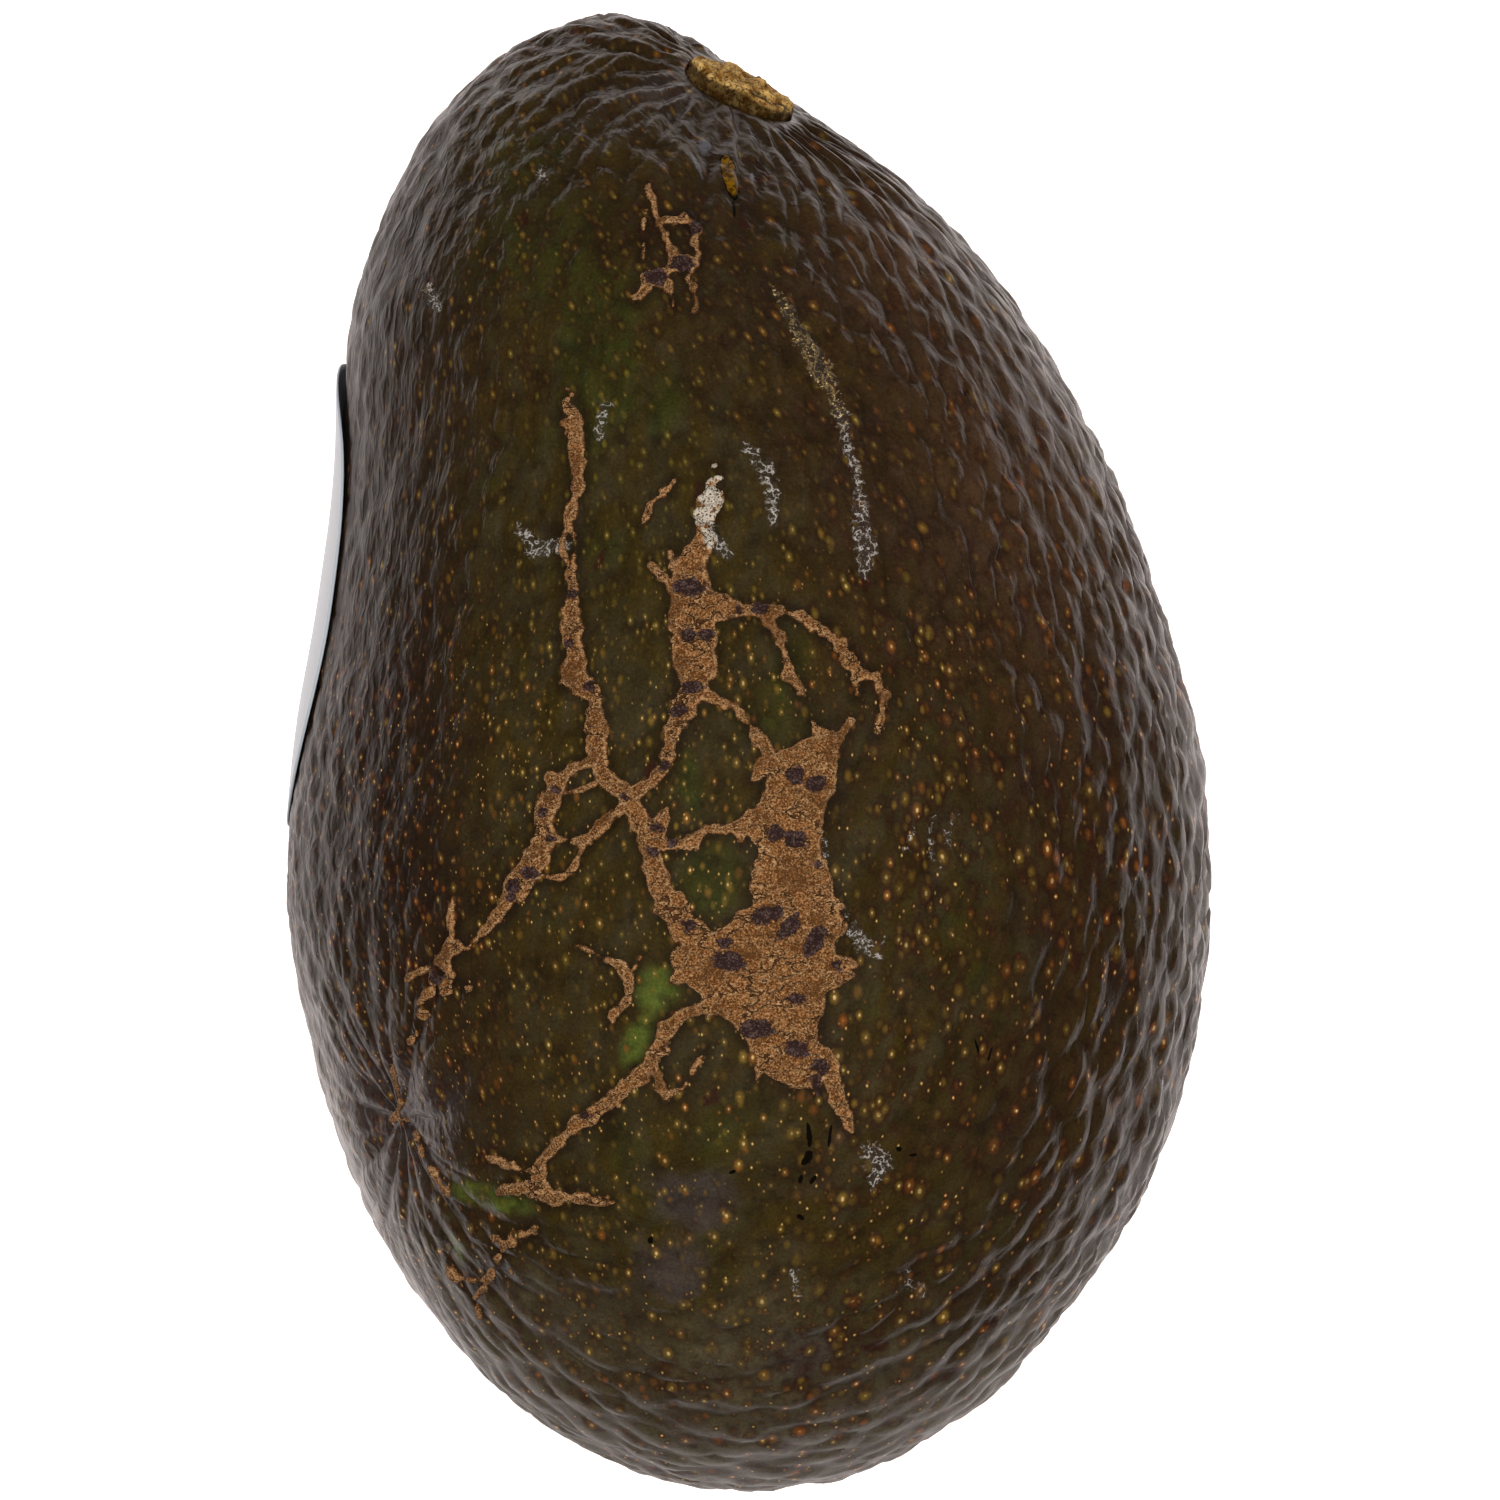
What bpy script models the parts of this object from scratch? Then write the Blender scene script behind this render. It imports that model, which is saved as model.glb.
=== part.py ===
"""A pebbly-skinned avocado, as picked, lying on its side on a small flat spot.

The long axis lies along Y with the stem end towards +Y, and the camera-side of the fruit faces +Z.
The origin is at the bottom centre of the fruit's box. The fruit is one grown body. Two separate
pieces sit on it: the corky stem button in its socket, and a blank adhesive label on the -X flank.

The skin is a grid whose meridians run from the stem to the blossom scar, the way the pebbles of
the skin run. Those two poles aren't opposite each other, so the grid is a round one, bent.
"""

import bpy
import numpy as np

MM = 0.001

# Size and outline of the body, in millimetres
LENGTH = 106.0
DEPTH_SHARE = 0.95
SHADE_ANGLE = np.radians(40)
# Along the body from the blossom end (-1) to the neck (1): half width that a plain ellipse would
# need there, and how far the middle of that slice leans from the long axis, towards +X
BODY_STATIONS = (
    (-1.00, 33.0, 0.6),
    (-0.93, 34.5, 0.2),
    (-0.80, 34.7, -0.1),
    (-0.60, 35.0, 0.2),
    (-0.40, 34.4, 0.2),
    (-0.20, 33.7, 0.0),
    (0.00, 32.4, 0.0),
    (0.20, 30.7, -0.6),
    (0.40, 29.9, -1.9),
    (0.60, 29.8, -4.5),
    (0.75, 28.8, -6.6),
    (0.87, 26.0, -9.1),
    (0.95, 23.2, -10.0),
    (1.00, 21.4, -9.9),
)
NECK_DROOP = 4.0
FLAT_DEPTH = 0.7

# Seen from above, where the stem and the blossom scar sit
STEM_SPOT = (-0.6, 47.2)
BLOSSOM_SPOT = (-25.6, -26.2)

# The skin's grid. Arc lengths of the rings near each pole are in millimetres
MERIDIANS = 88
MIDDLE_RINGS = 45
STEM_RINGS = (1.5, 3.0, 4.2, 4.6, 4.95, 5.6, 6.6, 8.0)
BLOSSOM_RINGS = (7.5, 5.0, 3.2, 1.8, 0.8)
FRONT_DENSITY = 0.75
LENGTH_SAMPLES = 400

# Relief of the skin. The pebbles' tops stand a little over the outline and the grooves lie below
# it, and both are shallower in the calm patch round the corky net
PEBBLE_RISE = 0.25
PEBBLE_WIDTH = 5.6
PEBBLE_STRETCH = 0.6
PEBBLE_DEPTH = 0.85
POLE_DEPTH = 0.45
POLE_NARROWING = 0.45
PEBBLE_SEED = 11
CALM_MIDDLE = (-6.0, -6.0)
CALM_REACH = (17.0, 37.0)
CALM_SHARE = 0.65
BLOSSOM_DENT = 1.3
BLOSSOM_DENT_REACH = 5.0
STEM_LIP = 0.35

# Socket of the stem, and the button in it
SOCKET_RADIUS = 4.75
SOCKET_WALL = 0.4
SOCKET_DEPTH = 1.9
BUTTON_RADIUS = 4.15
BUTTON_PROUD = 0.75
PIECE_GAP = 0.32

# Label, an oval lying along the fruit on its -X flank
LABEL_LENGTH = 33.4
LABEL_WIDTH = 24.0
LABEL_MIDDLE_Y = 11.2
LABEL_MIDDLE_ANGLE = np.radians(186)
LABEL_SQUARENESS = 0.85
LABEL_THICKNESS = 0.35
LABEL_RINGS = 5
LABEL_SPOKES = 36

# Corky net on the upper side: strands as (x, y, half width) seen from above
NET_HEIGHT = 0.55
NET_EDGE = 0.8
CORK_STRANDS = (
    ((-12.7, 25.0, 0.5), (-12.1, 20.5, 0.8), (-12.8, 15.0, 0.4), (-12.7, 10.0, 0.7), (-11.8, 4.7, 0.9),
     (-10.8, 0.0, 0.8), (-8.9, -3.3, 0.9)),
    ((-8.9, -3.3, 0.9), (-6.2, -0.8, 0.6), (-4.9, 3.0, 0.9), (-4.0, 5.4, 1.2), (-3.7, 9.0, 1.6),
     (-3.9, 11.8, 1.5), (-3.4, 15.5, 0.9)),
    ((-3.2, 9.7, 1.6), (1.3, 10.0, 0.6), (5.2, 8.6, 0.5), (7.2, 5.7, 0.6), (9.6, 3.4, 0.4)),
    ((-3.5, 4.0, 0.6), (-0.4, 2.4, 0.3), (1.8, -0.6, 0.5)),
    ((5.3, 0.6, 1.0), (3.8, -2.5, 2.4), (3.5, -8.5, 2.4), (3.6, -11.5, 3.3), (1.5, -14.5, 5.2),
     (1.3, -17.5, 4.6), (2.8, -20.8, 2.6), (6.0, -24.0, 0.7), (7.5, -27.2, 0.3)),
    ((-8.9, -3.3, 0.9), (-6.9, -5.7, 1.4), (-6.7, -8.4, 0.8), (-5.6, -11.0, 1.0), (-3.2, -14.0, 1.6)),
    ((-6.0, -6.4, 0.8), (-2.4, -5.5, 0.4), (0.8, -6.2, 0.6)),
    ((-10.7, -1.0, 0.7), (-13.6, -2.6, 0.9), (-14.6, -6.5, 0.8), (-16.5, -9.6, 0.9), (-18.5, -12.4, 0.4),
     (-21.2, -14.5, 0.8), (-23.2, -18.0, 0.6)),
    ((-8.9, -3.3, 0.9), (-11.5, -6.2, 0.5), (-14.2, -6.3, 0.6)),
    ((-3.4, -18.4, 0.5), (-6.2, -21.0, 0.7), (-8.4, -24.0, 0.7), (-12.0, -27.0, 0.9), (-15.0, -30.4, 0.5),
     (-16.4, -31.6, 0.8), (-10.5, -32.4, 0.5)),
)


def smooth_curve(x, knots, values):
    """A cubic curve through the knots, read at x. Each knot's slope comes from its neighbours."""
    slopes = np.gradient(values, knots)
    i = np.clip(np.searchsorted(knots, x) - 1, 0, len(knots) - 2)
    width = knots[i + 1] - knots[i]
    t = (x - knots[i]) / width
    return (
        (2 * t**3 - 3 * t**2 + 1) * values[i]
        + (t**3 - 2 * t**2 + t) * width * slopes[i]
        + (3 * t**2 - 2 * t**3) * values[i + 1]
        + (t**3 - t**2) * width * slopes[i + 1]
    )


def smooth_step(low, high, x):
    t = np.clip((x - low) / (high - low), 0, 1)
    return t * t * (3 - 2 * t)


STATIONS = np.array(BODY_STATIONS)


def half_width_at(share):
    return smooth_curve(share, STATIONS[:, 0], STATIONS[:, 1])


def lean_at(share):
    return smooth_curve(share, STATIONS[:, 0], STATIONS[:, 2])


def body_point(direction):
    """The smooth body's surface in the direction of a unit vector: a ball stretched to the outline."""
    share = np.clip(direction[..., 1], -1, 1)
    width = half_width_at(share)
    x = lean_at(share) + width * direction[..., 0]
    z = DEPTH_SHARE * width * direction[..., 2] - NECK_DROOP * share
    return np.stack([x, share * LENGTH / 2, z], axis=-1)


def upper_direction(spot):
    """The unit vector whose body point lies over this (x, y), on the upper side."""
    share = 2 * spot[1] / LENGTH
    across = (spot[0] - lean_at(share)) / half_width_at(share)
    return np.array([across, share, np.sqrt(1 - share**2 - across**2)])


def meridian_directions(turn, tilt):
    """Unit vectors on meridians from the stem (tilt 0) to the blossom scar (tilt pi).

    The plane that a ball is projected to from the stem's far side is stretched by a Mobius map,
    which moves the second pole to the scar and keeps every angle.
    """
    stem, scar = upper_direction(STEM_SPOT), upper_direction(BLOSSOM_SPOT)
    cosine = stem @ scar
    towards_scar = (scar - cosine * stem) / np.sqrt(1 - cosine**2)
    sideways = np.cross(stem, towards_scar)
    scar_distance = np.tan(np.arccos(cosine) / 2)
    plain = np.tan(tilt / 2) * np.exp(1j * turn)
    bent = plain / (1 + plain / scar_distance)
    length = np.abs(bent) ** 2
    along = 2 * bent / (1 + length)
    return (
        along.real[..., None] * towards_scar
        + along.imag[..., None] * sideways
        + ((1 - length) / (1 + length))[..., None] * stem
    )


def meridian_turns(count):
    """Turn angles of the meridians, evenly spaced round the middle ring and closer on the upper side."""
    turn = np.linspace(0, 2 * np.pi, LENGTH_SAMPLES + 1)
    ring = meridian_directions(turn, np.full_like(turn, np.pi / 2))
    step = np.linalg.norm(np.diff(body_point(ring), axis=0), axis=1)
    step *= 1 + FRONT_DENSITY * smooth_step(-0.3, 0.6, ring[1:, 2])
    walked = np.concatenate([[0], np.cumsum(step)])
    return np.interp(np.arange(count) / count * walked[-1], walked, turn)


def skin_grid(meridians, stem_rings, middle_rings, blossom_rings):
    """Points of the smooth skin as [ring, meridian, xyz], without the two poles, and each ring's arc."""
    turns = meridian_turns(meridians)
    tilt = np.linspace(0.002, np.pi - 0.002, LENGTH_SAMPLES)
    fine = body_point(meridian_directions(turns[None, :], tilt[:, None]))
    steps = np.linalg.norm(np.diff(fine, axis=0), axis=2)
    walked = np.concatenate([np.zeros((1, meridians)), np.cumsum(steps, axis=0)])
    first, last = np.array(stem_rings), np.array(blossom_rings)
    between = np.linspace(0, 1, middle_rings + 2)[1:-1]
    tilts, arcs = [], []
    for k in range(meridians):
        whole = walked[-1, k]
        middle = first[-1] + between * (whole - last[0] - first[-1])
        arc = np.concatenate([first, middle, whole - last])
        tilts.append(np.interp(arc, walked[:, k], tilt))
        arcs.append(np.stack([arc, whole - arc]))
    tilts = np.array(tilts).T
    points = body_point(meridian_directions(turns[None, :], tilts))
    return points, np.array(arcs).transpose(1, 2, 0)


def outward_normals(points):
    """Unit normals of the grid, from the neighbours along and round it."""
    along = np.gradient(points, axis=0)
    around = np.roll(points, -1, axis=1) - np.roll(points, 1, axis=1)
    normal = np.cross(along, around)
    normal /= np.linalg.norm(normal, axis=-1, keepdims=True)
    return normal * np.sign((normal * (points - points.mean(axis=(0, 1)))).sum(axis=-1).mean())


def spindle(points):
    """Where each grid point lies on a spindle that the pebbles are drawn on, in millimetres.

    Rings keep their real shape, but shrink more slowly than the body towards the poles, and the
    way along is shortened, so cells drawn on it come out long, and narrow near the poles.
    """
    centre = points.mean(axis=1, keepdims=True)
    offset = points - centre
    radius = np.linalg.norm(offset, axis=2).mean(axis=1)
    share = radius / radius.max()
    spacing = np.linalg.norm(np.diff(points, axis=0), axis=2).mean(axis=1)
    shortening = PEBBLE_STRETCH * (0.4 + 0.6 * share[1:])
    along = np.concatenate([[0], np.cumsum(spacing * shortening)])
    widened = offset * (share ** (POLE_NARROWING - 1))[:, None, None]
    axis = centre[-1, 0] - centre[0, 0]
    axis /= np.linalg.norm(axis)
    return widened + along[:, None, None] * axis, share


def cell_distances(points, size, seed):
    """Distances to the nearest and second nearest of scattered cell centres, in cell sizes."""
    side = 24
    lattice = np.random.default_rng(seed).random((side, side, side, 3))
    scaled = points / size
    home = np.floor(scaled).astype(int)
    nearest = np.full(scaled.shape[:-1], 9.0)
    second = nearest.copy()
    for shift in np.ndindex(3, 3, 3):
        cell = home + np.array(shift) - 1
        centre = cell + lattice[tuple((cell % side).reshape(-1, 3).T)].reshape(cell.shape)
        distance = np.linalg.norm(scaled - centre, axis=-1)
        second = np.minimum(second, np.maximum(nearest, distance))
        nearest = np.minimum(nearest, distance)
    return nearest, second


def pebble_relief(points):
    """Height over the outline, PEBBLE_RISE on a pebble's top and PEBBLE_DEPTH less in a groove."""
    drawn_on, share = spindle(points)
    nearest, second = cell_distances(drawn_on, PEBBLE_WIDTH, PEBBLE_SEED)
    dome = smooth_step(0, 0.5, second - nearest) * (1 - 0.35 * nearest**2)
    from_calm = np.linalg.norm((points[..., :2] - CALM_MIDDLE) / CALM_REACH, axis=-1)
    calm = CALM_SHARE * (1 - smooth_step(0.6, 1.1, from_calm)) * (points[..., 2] > 0)
    depth = POLE_DEPTH + (1 - POLE_DEPTH) * smooth_step(0.1, 0.6, share)
    return (PEBBLE_RISE - PEBBLE_DEPTH * (1 - dome)) * depth[:, None] * (1 - calm)


def label_cover(points):
    """1 under the label and 0 away from it, where the pressed skin stays below the outline."""
    share = 2 * points[..., 1] / LENGTH
    sideways = lean_at(share) - points[..., 0]
    down = -(points[..., 2] + NECK_DROOP * share) / DEPTH_SHARE
    around = (np.arctan2(down, sideways) + np.pi - LABEL_MIDDLE_ANGLE) * half_width_at(share)
    along = (points[..., 1] - LABEL_MIDDLE_Y) * LABEL_WIDTH / LABEL_LENGTH
    return 1 - smooth_step(0, 2.5, np.hypot(around, along) - LABEL_WIDTH / 2 - 1)


def net_relief(points, normals):
    """Height of the corky net: a soft ridge over each strand, on the upper side alone."""
    best = np.full(points.shape[:2], -9.0)
    for strand in CORK_STRANDS:
        for start, end in zip(np.array(strand[:-1]), np.array(strand[1:])):
            run = end[:2] - start[:2]
            t = np.clip(((points[..., :2] - start[:2]) @ run) / (run @ run), 0, 1)
            centre = start[:2] + t[..., None] * run
            distance = np.linalg.norm(points[..., :2] - centre, axis=-1)
            best = np.maximum(best, start[2] + t * (end[2] - start[2]) - distance)
    return NET_HEIGHT * smooth_step(-NET_EDGE, NET_EDGE / 2, best) * (normals[..., 2] > 0.1)


def stem_frame():
    """The stem's point on the smooth body and the axis that it stands on."""
    turns = np.linspace(0, 2 * np.pi, 24, endpoint=False)
    ring = body_point(meridian_directions(turns, np.full_like(turns, 0.12)))
    centre = ring.mean(axis=0)
    axis = np.cross(ring - centre, np.roll(ring, -1, axis=0) - centre).sum(axis=0)
    axis /= np.linalg.norm(axis)
    point = body_point(upper_direction(STEM_SPOT))
    return point, axis * np.sign(axis @ point)


def ball_faces(rings, meridians):
    """Faces of a closed grid whose last two points are its poles."""
    faces = []
    first_pole = rings * meridians
    for k in range(meridians):
        following = (k + 1) % meridians
        faces.append((first_pole, k, following))
        for ring in range(rings - 1):
            here = ring * meridians
            there = here + meridians
            faces.append((here + k, there + k, there + following, here + following))
        last = (rings - 1) * meridians
        faces.append((last + following, last + k, first_pole + 1))
    return faces


def finish_material(name, colour, roughness):
    material = bpy.data.materials.new(name)
    material.use_nodes = True
    shader = material.node_tree.nodes["Principled BSDF"]
    shader.inputs["Base Color"].default_value = (*colour, 1)
    shader.inputs["Roughness"].default_value = roughness
    shader.inputs["Metallic"].default_value = 0.0
    return material


def add_solid(name, rings, poles, material):
    """One closed object from rings of points and its two poles, in millimetres."""
    points = np.concatenate([rings.reshape(-1, 3), poles]) * MM
    mesh = bpy.data.meshes.new(name)
    mesh.from_pydata(points.tolist(), [], ball_faces(*rings.shape[:2]))
    mesh.validate()
    mesh.materials.append(material)
    mesh.shade_smooth()
    mesh.set_sharp_from_angle(angle=SHADE_ANGLE)
    obj = bpy.data.objects.new(name, mesh)
    bpy.context.scene.collection.objects.link(obj)
    return obj


def fruit_shape():
    """Rings and poles of the fruit before it is set down, and the height of its lowest point."""
    points, (from_stem, from_scar) = skin_grid(MERIDIANS, STEM_RINGS, MIDDLE_RINGS, BLOSSOM_RINGS)
    normals = outward_normals(points)
    stem, axis = stem_frame()
    scar = body_point(upper_direction(BLOSSOM_SPOT))
    lowest = points[..., 2].min()

    on_flat = 1 - smooth_step(FLAT_DEPTH, 3 * FLAT_DEPTH, points[..., 2] - lowest)
    beside_socket = smooth_step(SOCKET_RADIUS, SOCKET_RADIUS + 3, from_stem)
    rise = pebble_relief(points) * (1 - on_flat) * beside_socket
    rise = np.minimum(rise, PEBBLE_RISE * (1 - label_cover(points)))
    rise += net_relief(points, normals)
    rise -= BLOSSOM_DENT * np.exp(-((from_scar / BLOSSOM_DENT_REACH) ** 2))
    rise += STEM_LIP * np.exp(-(((from_stem - SOCKET_RADIUS - 0.9) / 0.9) ** 2))
    sunk = 1 - smooth_step(SOCKET_RADIUS - SOCKET_WALL, SOCKET_RADIUS, from_stem)
    shaped = points + normals * (rise * (1 - sunk))[..., None] - axis * (SOCKET_DEPTH * sunk)[..., None]
    poles = np.array([stem - axis * SOCKET_DEPTH, scar + shaped[-1].mean(axis=0) - points[-1].mean(axis=0)])
    return shaped, poles, lowest


def build_fruit(rings, poles, floor):
    """The body itself: skin and flesh in one, cut flat where it has rested."""
    set_down = rings.copy()
    set_down[..., 2] = np.maximum(rings[..., 2], floor)
    skin = finish_material("skin", (0.035, 0.026, 0.010), 0.38)
    return add_solid("fruit", set_down, poles, skin)


def build_stem_button():
    """The stub of the stalk: a crumbly disc that stands a little proud of its socket."""
    stem, axis = stem_frame()
    turns = np.linspace(0, 2 * np.pi, 40, endpoint=False)
    across = np.cross(axis, (0, 0, 1))
    across /= np.linalg.norm(across)
    upward = np.cross(axis, across)
    spokes = np.cos(turns)[:, None] * across + np.sin(turns)[:, None] * upward
    outline = BUTTON_RADIUS * (1 + 0.03 * np.sin(2 * turns + 0.6) + 0.015 * np.sin(5 * turns))
    curve = 1 / (2 * half_width_at(0.9))
    underside = PIECE_GAP - SOCKET_DEPTH
    profile = (
        (0.35, BUTTON_PROUD + 0.05),
        (0.65, BUTTON_PROUD + 0.12),
        (0.88, BUTTON_PROUD),
        (0.97, BUTTON_PROUD - 0.25),
        (1.00, BUTTON_PROUD - 0.7),
        (1.00, underside + 0.5),
        (0.94, underside),
        (0.50, underside),
    )
    rings = []
    for number, (reach, height) in enumerate(profile):
        radius = (reach * outline)[:, None]
        crumbs = 0.10 * np.sin(3 * turns + number) if height > 0.3 else 0 * turns
        rings.append(stem + radius * spokes + (height + crumbs[:, None] - curve * radius**2) * axis)
    poles = np.array([stem + BUTTON_PROUD * axis, stem + underside * axis])
    cork = finish_material("stem_cork", (0.29, 0.14, 0.03), 0.9)
    return add_solid("stem_button", np.array(rings), poles, cork)


def build_label():
    """An oval of film wrapped on the flank, clear of the pebbles under it."""
    spokes = np.linspace(0, 2 * np.pi, LABEL_SPOKES, endpoint=False)
    across, along = (np.sign(side) * np.abs(side) ** LABEL_SQUARENESS for side in (np.cos(spokes), np.sin(spokes)))
    girth = half_width_at(2 * LABEL_MIDDLE_Y / LENGTH)

    def sheet(reach, height):
        """Points at a share of the way from the label's middle to its edge, above the body."""
        share = 2 * (LABEL_MIDDLE_Y + reach * LABEL_LENGTH / 2 * along) / LENGTH
        angle = LABEL_MIDDLE_ANGLE - reach * LABEL_WIDTH / 2 * across / girth
        ring = np.sqrt(1 - share**2)
        direction = np.stack([ring * np.cos(angle), share, ring * np.sin(angle)], axis=-1)
        outward = direction / np.array([girth, LENGTH / 2, DEPTH_SHARE * girth])
        outward /= np.linalg.norm(outward, axis=-1, keepdims=True)
        return body_point(direction) + height * outward

    under, over = PIECE_GAP, PIECE_GAP + LABEL_THICKNESS
    reaches = np.linspace(1 / LABEL_RINGS, 1, LABEL_RINGS)
    rings = [sheet(reach, over) for reach in reaches] + [sheet(reach, under) for reach in reaches[::-1]]
    poles = np.array([sheet(0, over)[0], sheet(0, under)[0]])
    film = finish_material("label_film", (0.80, 0.80, 0.79), 0.45)
    return add_solid("label", np.array(rings), poles, film)


def main():
    for old in list(bpy.data.objects):
        bpy.data.objects.remove(old)
    rings, poles, lowest = fruit_shape()
    floor = lowest + FLAT_DEPTH
    pieces = [build_fruit(rings, poles, floor), build_stem_button(), build_label()]
    for piece in pieces:
        piece.location.z = -floor * MM


main()
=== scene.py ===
import bpy
import numpy as np
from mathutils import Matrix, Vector


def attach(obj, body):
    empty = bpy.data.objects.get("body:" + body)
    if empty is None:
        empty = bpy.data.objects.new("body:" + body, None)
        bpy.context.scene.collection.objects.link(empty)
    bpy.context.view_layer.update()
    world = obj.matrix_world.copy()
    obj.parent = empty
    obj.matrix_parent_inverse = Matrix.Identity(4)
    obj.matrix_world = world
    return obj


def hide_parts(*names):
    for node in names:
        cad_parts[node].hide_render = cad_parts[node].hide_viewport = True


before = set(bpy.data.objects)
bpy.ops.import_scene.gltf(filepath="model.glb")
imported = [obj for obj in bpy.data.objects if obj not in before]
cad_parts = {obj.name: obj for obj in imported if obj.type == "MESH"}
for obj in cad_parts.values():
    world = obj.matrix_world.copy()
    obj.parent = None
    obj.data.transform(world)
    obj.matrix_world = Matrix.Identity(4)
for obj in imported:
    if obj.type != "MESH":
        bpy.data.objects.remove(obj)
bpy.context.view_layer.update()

# An avocado on its side, seen from straight above. Shapes are worked out in millimetres, with the
# middle of the fruit at zero, and lifted onto the table when they are put into a mesh.

millimetre = 0.001

fruitShape = {
    "length": 106.0,
    "depthShare": 0.95,      # depth over width
    "neckDroop": 4.0,        # how far the neck end hangs below the middle
    "liftOffTable": 30.19,   # height of the fruit's middle
    "flatDepth": 0.7,        # how much of the underside the resting spot cuts off
    # place along the fruit, -1 to 1; half width of the ellipse there; its lean towards +X
    "stations": (
        (-1, 33, 0.6), (-0.93, 34.5, 0.2), (-0.8, 34.7, -0.1), (-0.6, 35, 0.2),
        (-0.4, 34.4, 0.2), (-0.2, 33.7, 0), (0, 32.4, 0), (0.2, 30.7, -0.6),
        (0.4, 29.9, -1.9), (0.6, 29.8, -4.5), (0.75, 28.8, -6.6), (0.87, 26, -9.1),
        (0.95, 23.2, -10), (1, 21.4, -9.9),
    ),
    "stemSpot": (-0.6, 47.2),
    "scarSpot": (-25.6, -26.2),
    "meridians": 436,
    "middleRings": 190,
    "ringsNearStem": (1.2, 2.2, 2.65, 2.8, 2.95, 3.1, 3.35, 3.6, 3.85, 4.0, 4.12, 4.24, 4.36, 4.5, 4.7,
                      4.95, 5.3, 5.8, 6.3, 6.8, 7.4),   # distances from the pole
    "ringsNearScar": (7.2, 6.5, 5.8, 5.1, 4.5, 3.9, 3.3, 2.8, 2.3, 1.8, 1.3, 0.9, 0.5),
    "frontDensity": 0.9,     # how much closer the meridians are on the upper side
}

cameraPlace = {
    "lens": 300.0,
    "sensor": 36.0,
    "frameWidth": 107.8,     # millimetres across the picture, at the fruit's outline
    "middle": (0.144, 0.036),
}
cameraDistance = cameraPlace["frameWidth"] * cameraPlace["lens"] / cameraPlace["sensor"]


# Numbers and noise


def smoothStep(low, high, x):
    t = np.clip((x - low) / (high - low), 0, 1)
    return t * t * (3 - 2 * t)


# A cubic through the knots, with each knot's slope taken from its neighbours.
def smoothCurve(x, knots, values):
    slopes = np.gradient(values, knots)
    i = np.clip(np.searchsorted(knots, x) - 1, 0, len(knots) - 2)
    width = knots[i + 1] - knots[i]
    t = (x - knots[i]) / width
    return ((2 * t**3 - 3 * t**2 + 1) * values[i] + (t**3 - 2 * t**2 + t) * width * slopes[i]
            + (3 * t**2 - 2 * t**3) * values[i + 1] + (t**3 - t**2) * width * slopes[i + 1])


def unit(vectors):
    return vectors / np.linalg.norm(vectors, axis=-1, keepdims=True)


# Random values on a lattice of the given size, blended smoothly between its points: -1 to 1.
def softNoise(points, size, seed):
    side = 32
    lattice = np.random.default_rng(seed).uniform(-1, 1, (side, side, side))
    scaled = points / size
    home = np.floor(scaled).astype(int)
    t = scaled - home
    t = t * t * (3 - 2 * t)
    total = 0.0
    for corner in np.ndindex(2, 2, 2):
        weight = np.prod(np.where(corner, t, 1 - t), axis=-1)
        x, y, z = np.moveaxis((home + corner) % side, -1, 0)
        total = total + weight * lattice[x, y, z]
    return total


# The sum of several soft noises, from layers of (size, height, seed).
def layeredNoise(points, layers):
    return sum(height * softNoise(points, size, seed) for size, height, seed in layers)


# A bell: 1 at no distance, and fading out past the reach.
def bell(distance, reach):
    return np.exp(-((distance / reach) ** 2))


# Where (x, y) is in an ellipse of (x, y, half width, half height, turn in degrees, if any), across
# and up, as shares of its half widths. It takes arrays and wires.
def inEllipse(x, y, ellipse):
    middleX, middleY, halfWidth, halfHeight, *turned = ellipse
    turn = np.radians(turned[0] if turned else 0)
    cosine, sine = float(np.cos(turn)), float(np.sin(turn))
    away, over = x - middleX, y - middleY
    across = away * (cosine / halfWidth) + over * (sine / halfWidth)
    upwards = over * (cosine / halfHeight) - away * (sine / halfHeight)
    return across, upwards


# Distance to the nearest and second nearest scattered centre, in cell sizes. Distances count less
# along the flow and more across it, so the cells come out long: 'stretch' times longer than wide.
def longCells(points, flow, size, stretch, seed):
    side = 32
    lattice = np.random.default_rng(seed).random((side, side, side, 3))
    home = np.floor(points / size).astype(int)
    farAway = 9.0
    nearest = np.full(points.shape[:-1], farAway)
    second = nearest.copy()
    cellsAside = 2
    for shift in np.ndindex((2 * cellsAside + 1,) * 3):
        cell = home + np.array(shift) - cellsAside
        x, y, z = np.moveaxis(cell % side, -1, 0)
        gap = points - (cell + lattice[x, y, z]) * size
        along = np.square(np.einsum("...i,...i", gap, flow))
        whole = np.einsum("...i,...i", gap, gap)
        distance = np.sqrt(along / stretch + (whole - along) * stretch) / size
        second = np.minimum(second, np.maximum(nearest, distance))
        nearest = np.minimum(nearest, distance)
    return nearest, second


# The smooth body


stations = np.array(fruitShape["stations"])


def halfWidthAt(share):
    return smoothCurve(share, stations[:, 0], stations[:, 1])


def leanAt(share):
    return smoothCurve(share, stations[:, 0], stations[:, 2])


# A ball stretched to the outline: each slice across is an ellipse, moved by the lean and the droop.
def bodyPoint(direction):
    share = np.clip(direction[..., 1], -1, 1)
    width = halfWidthAt(share)
    x = leanAt(share) + width * direction[..., 0]
    z = fruitShape["depthShare"] * width * direction[..., 2] - fruitShape["neckDroop"] * share
    return np.stack([x, share * fruitShape["length"] / 2, z], axis=-1)


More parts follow.
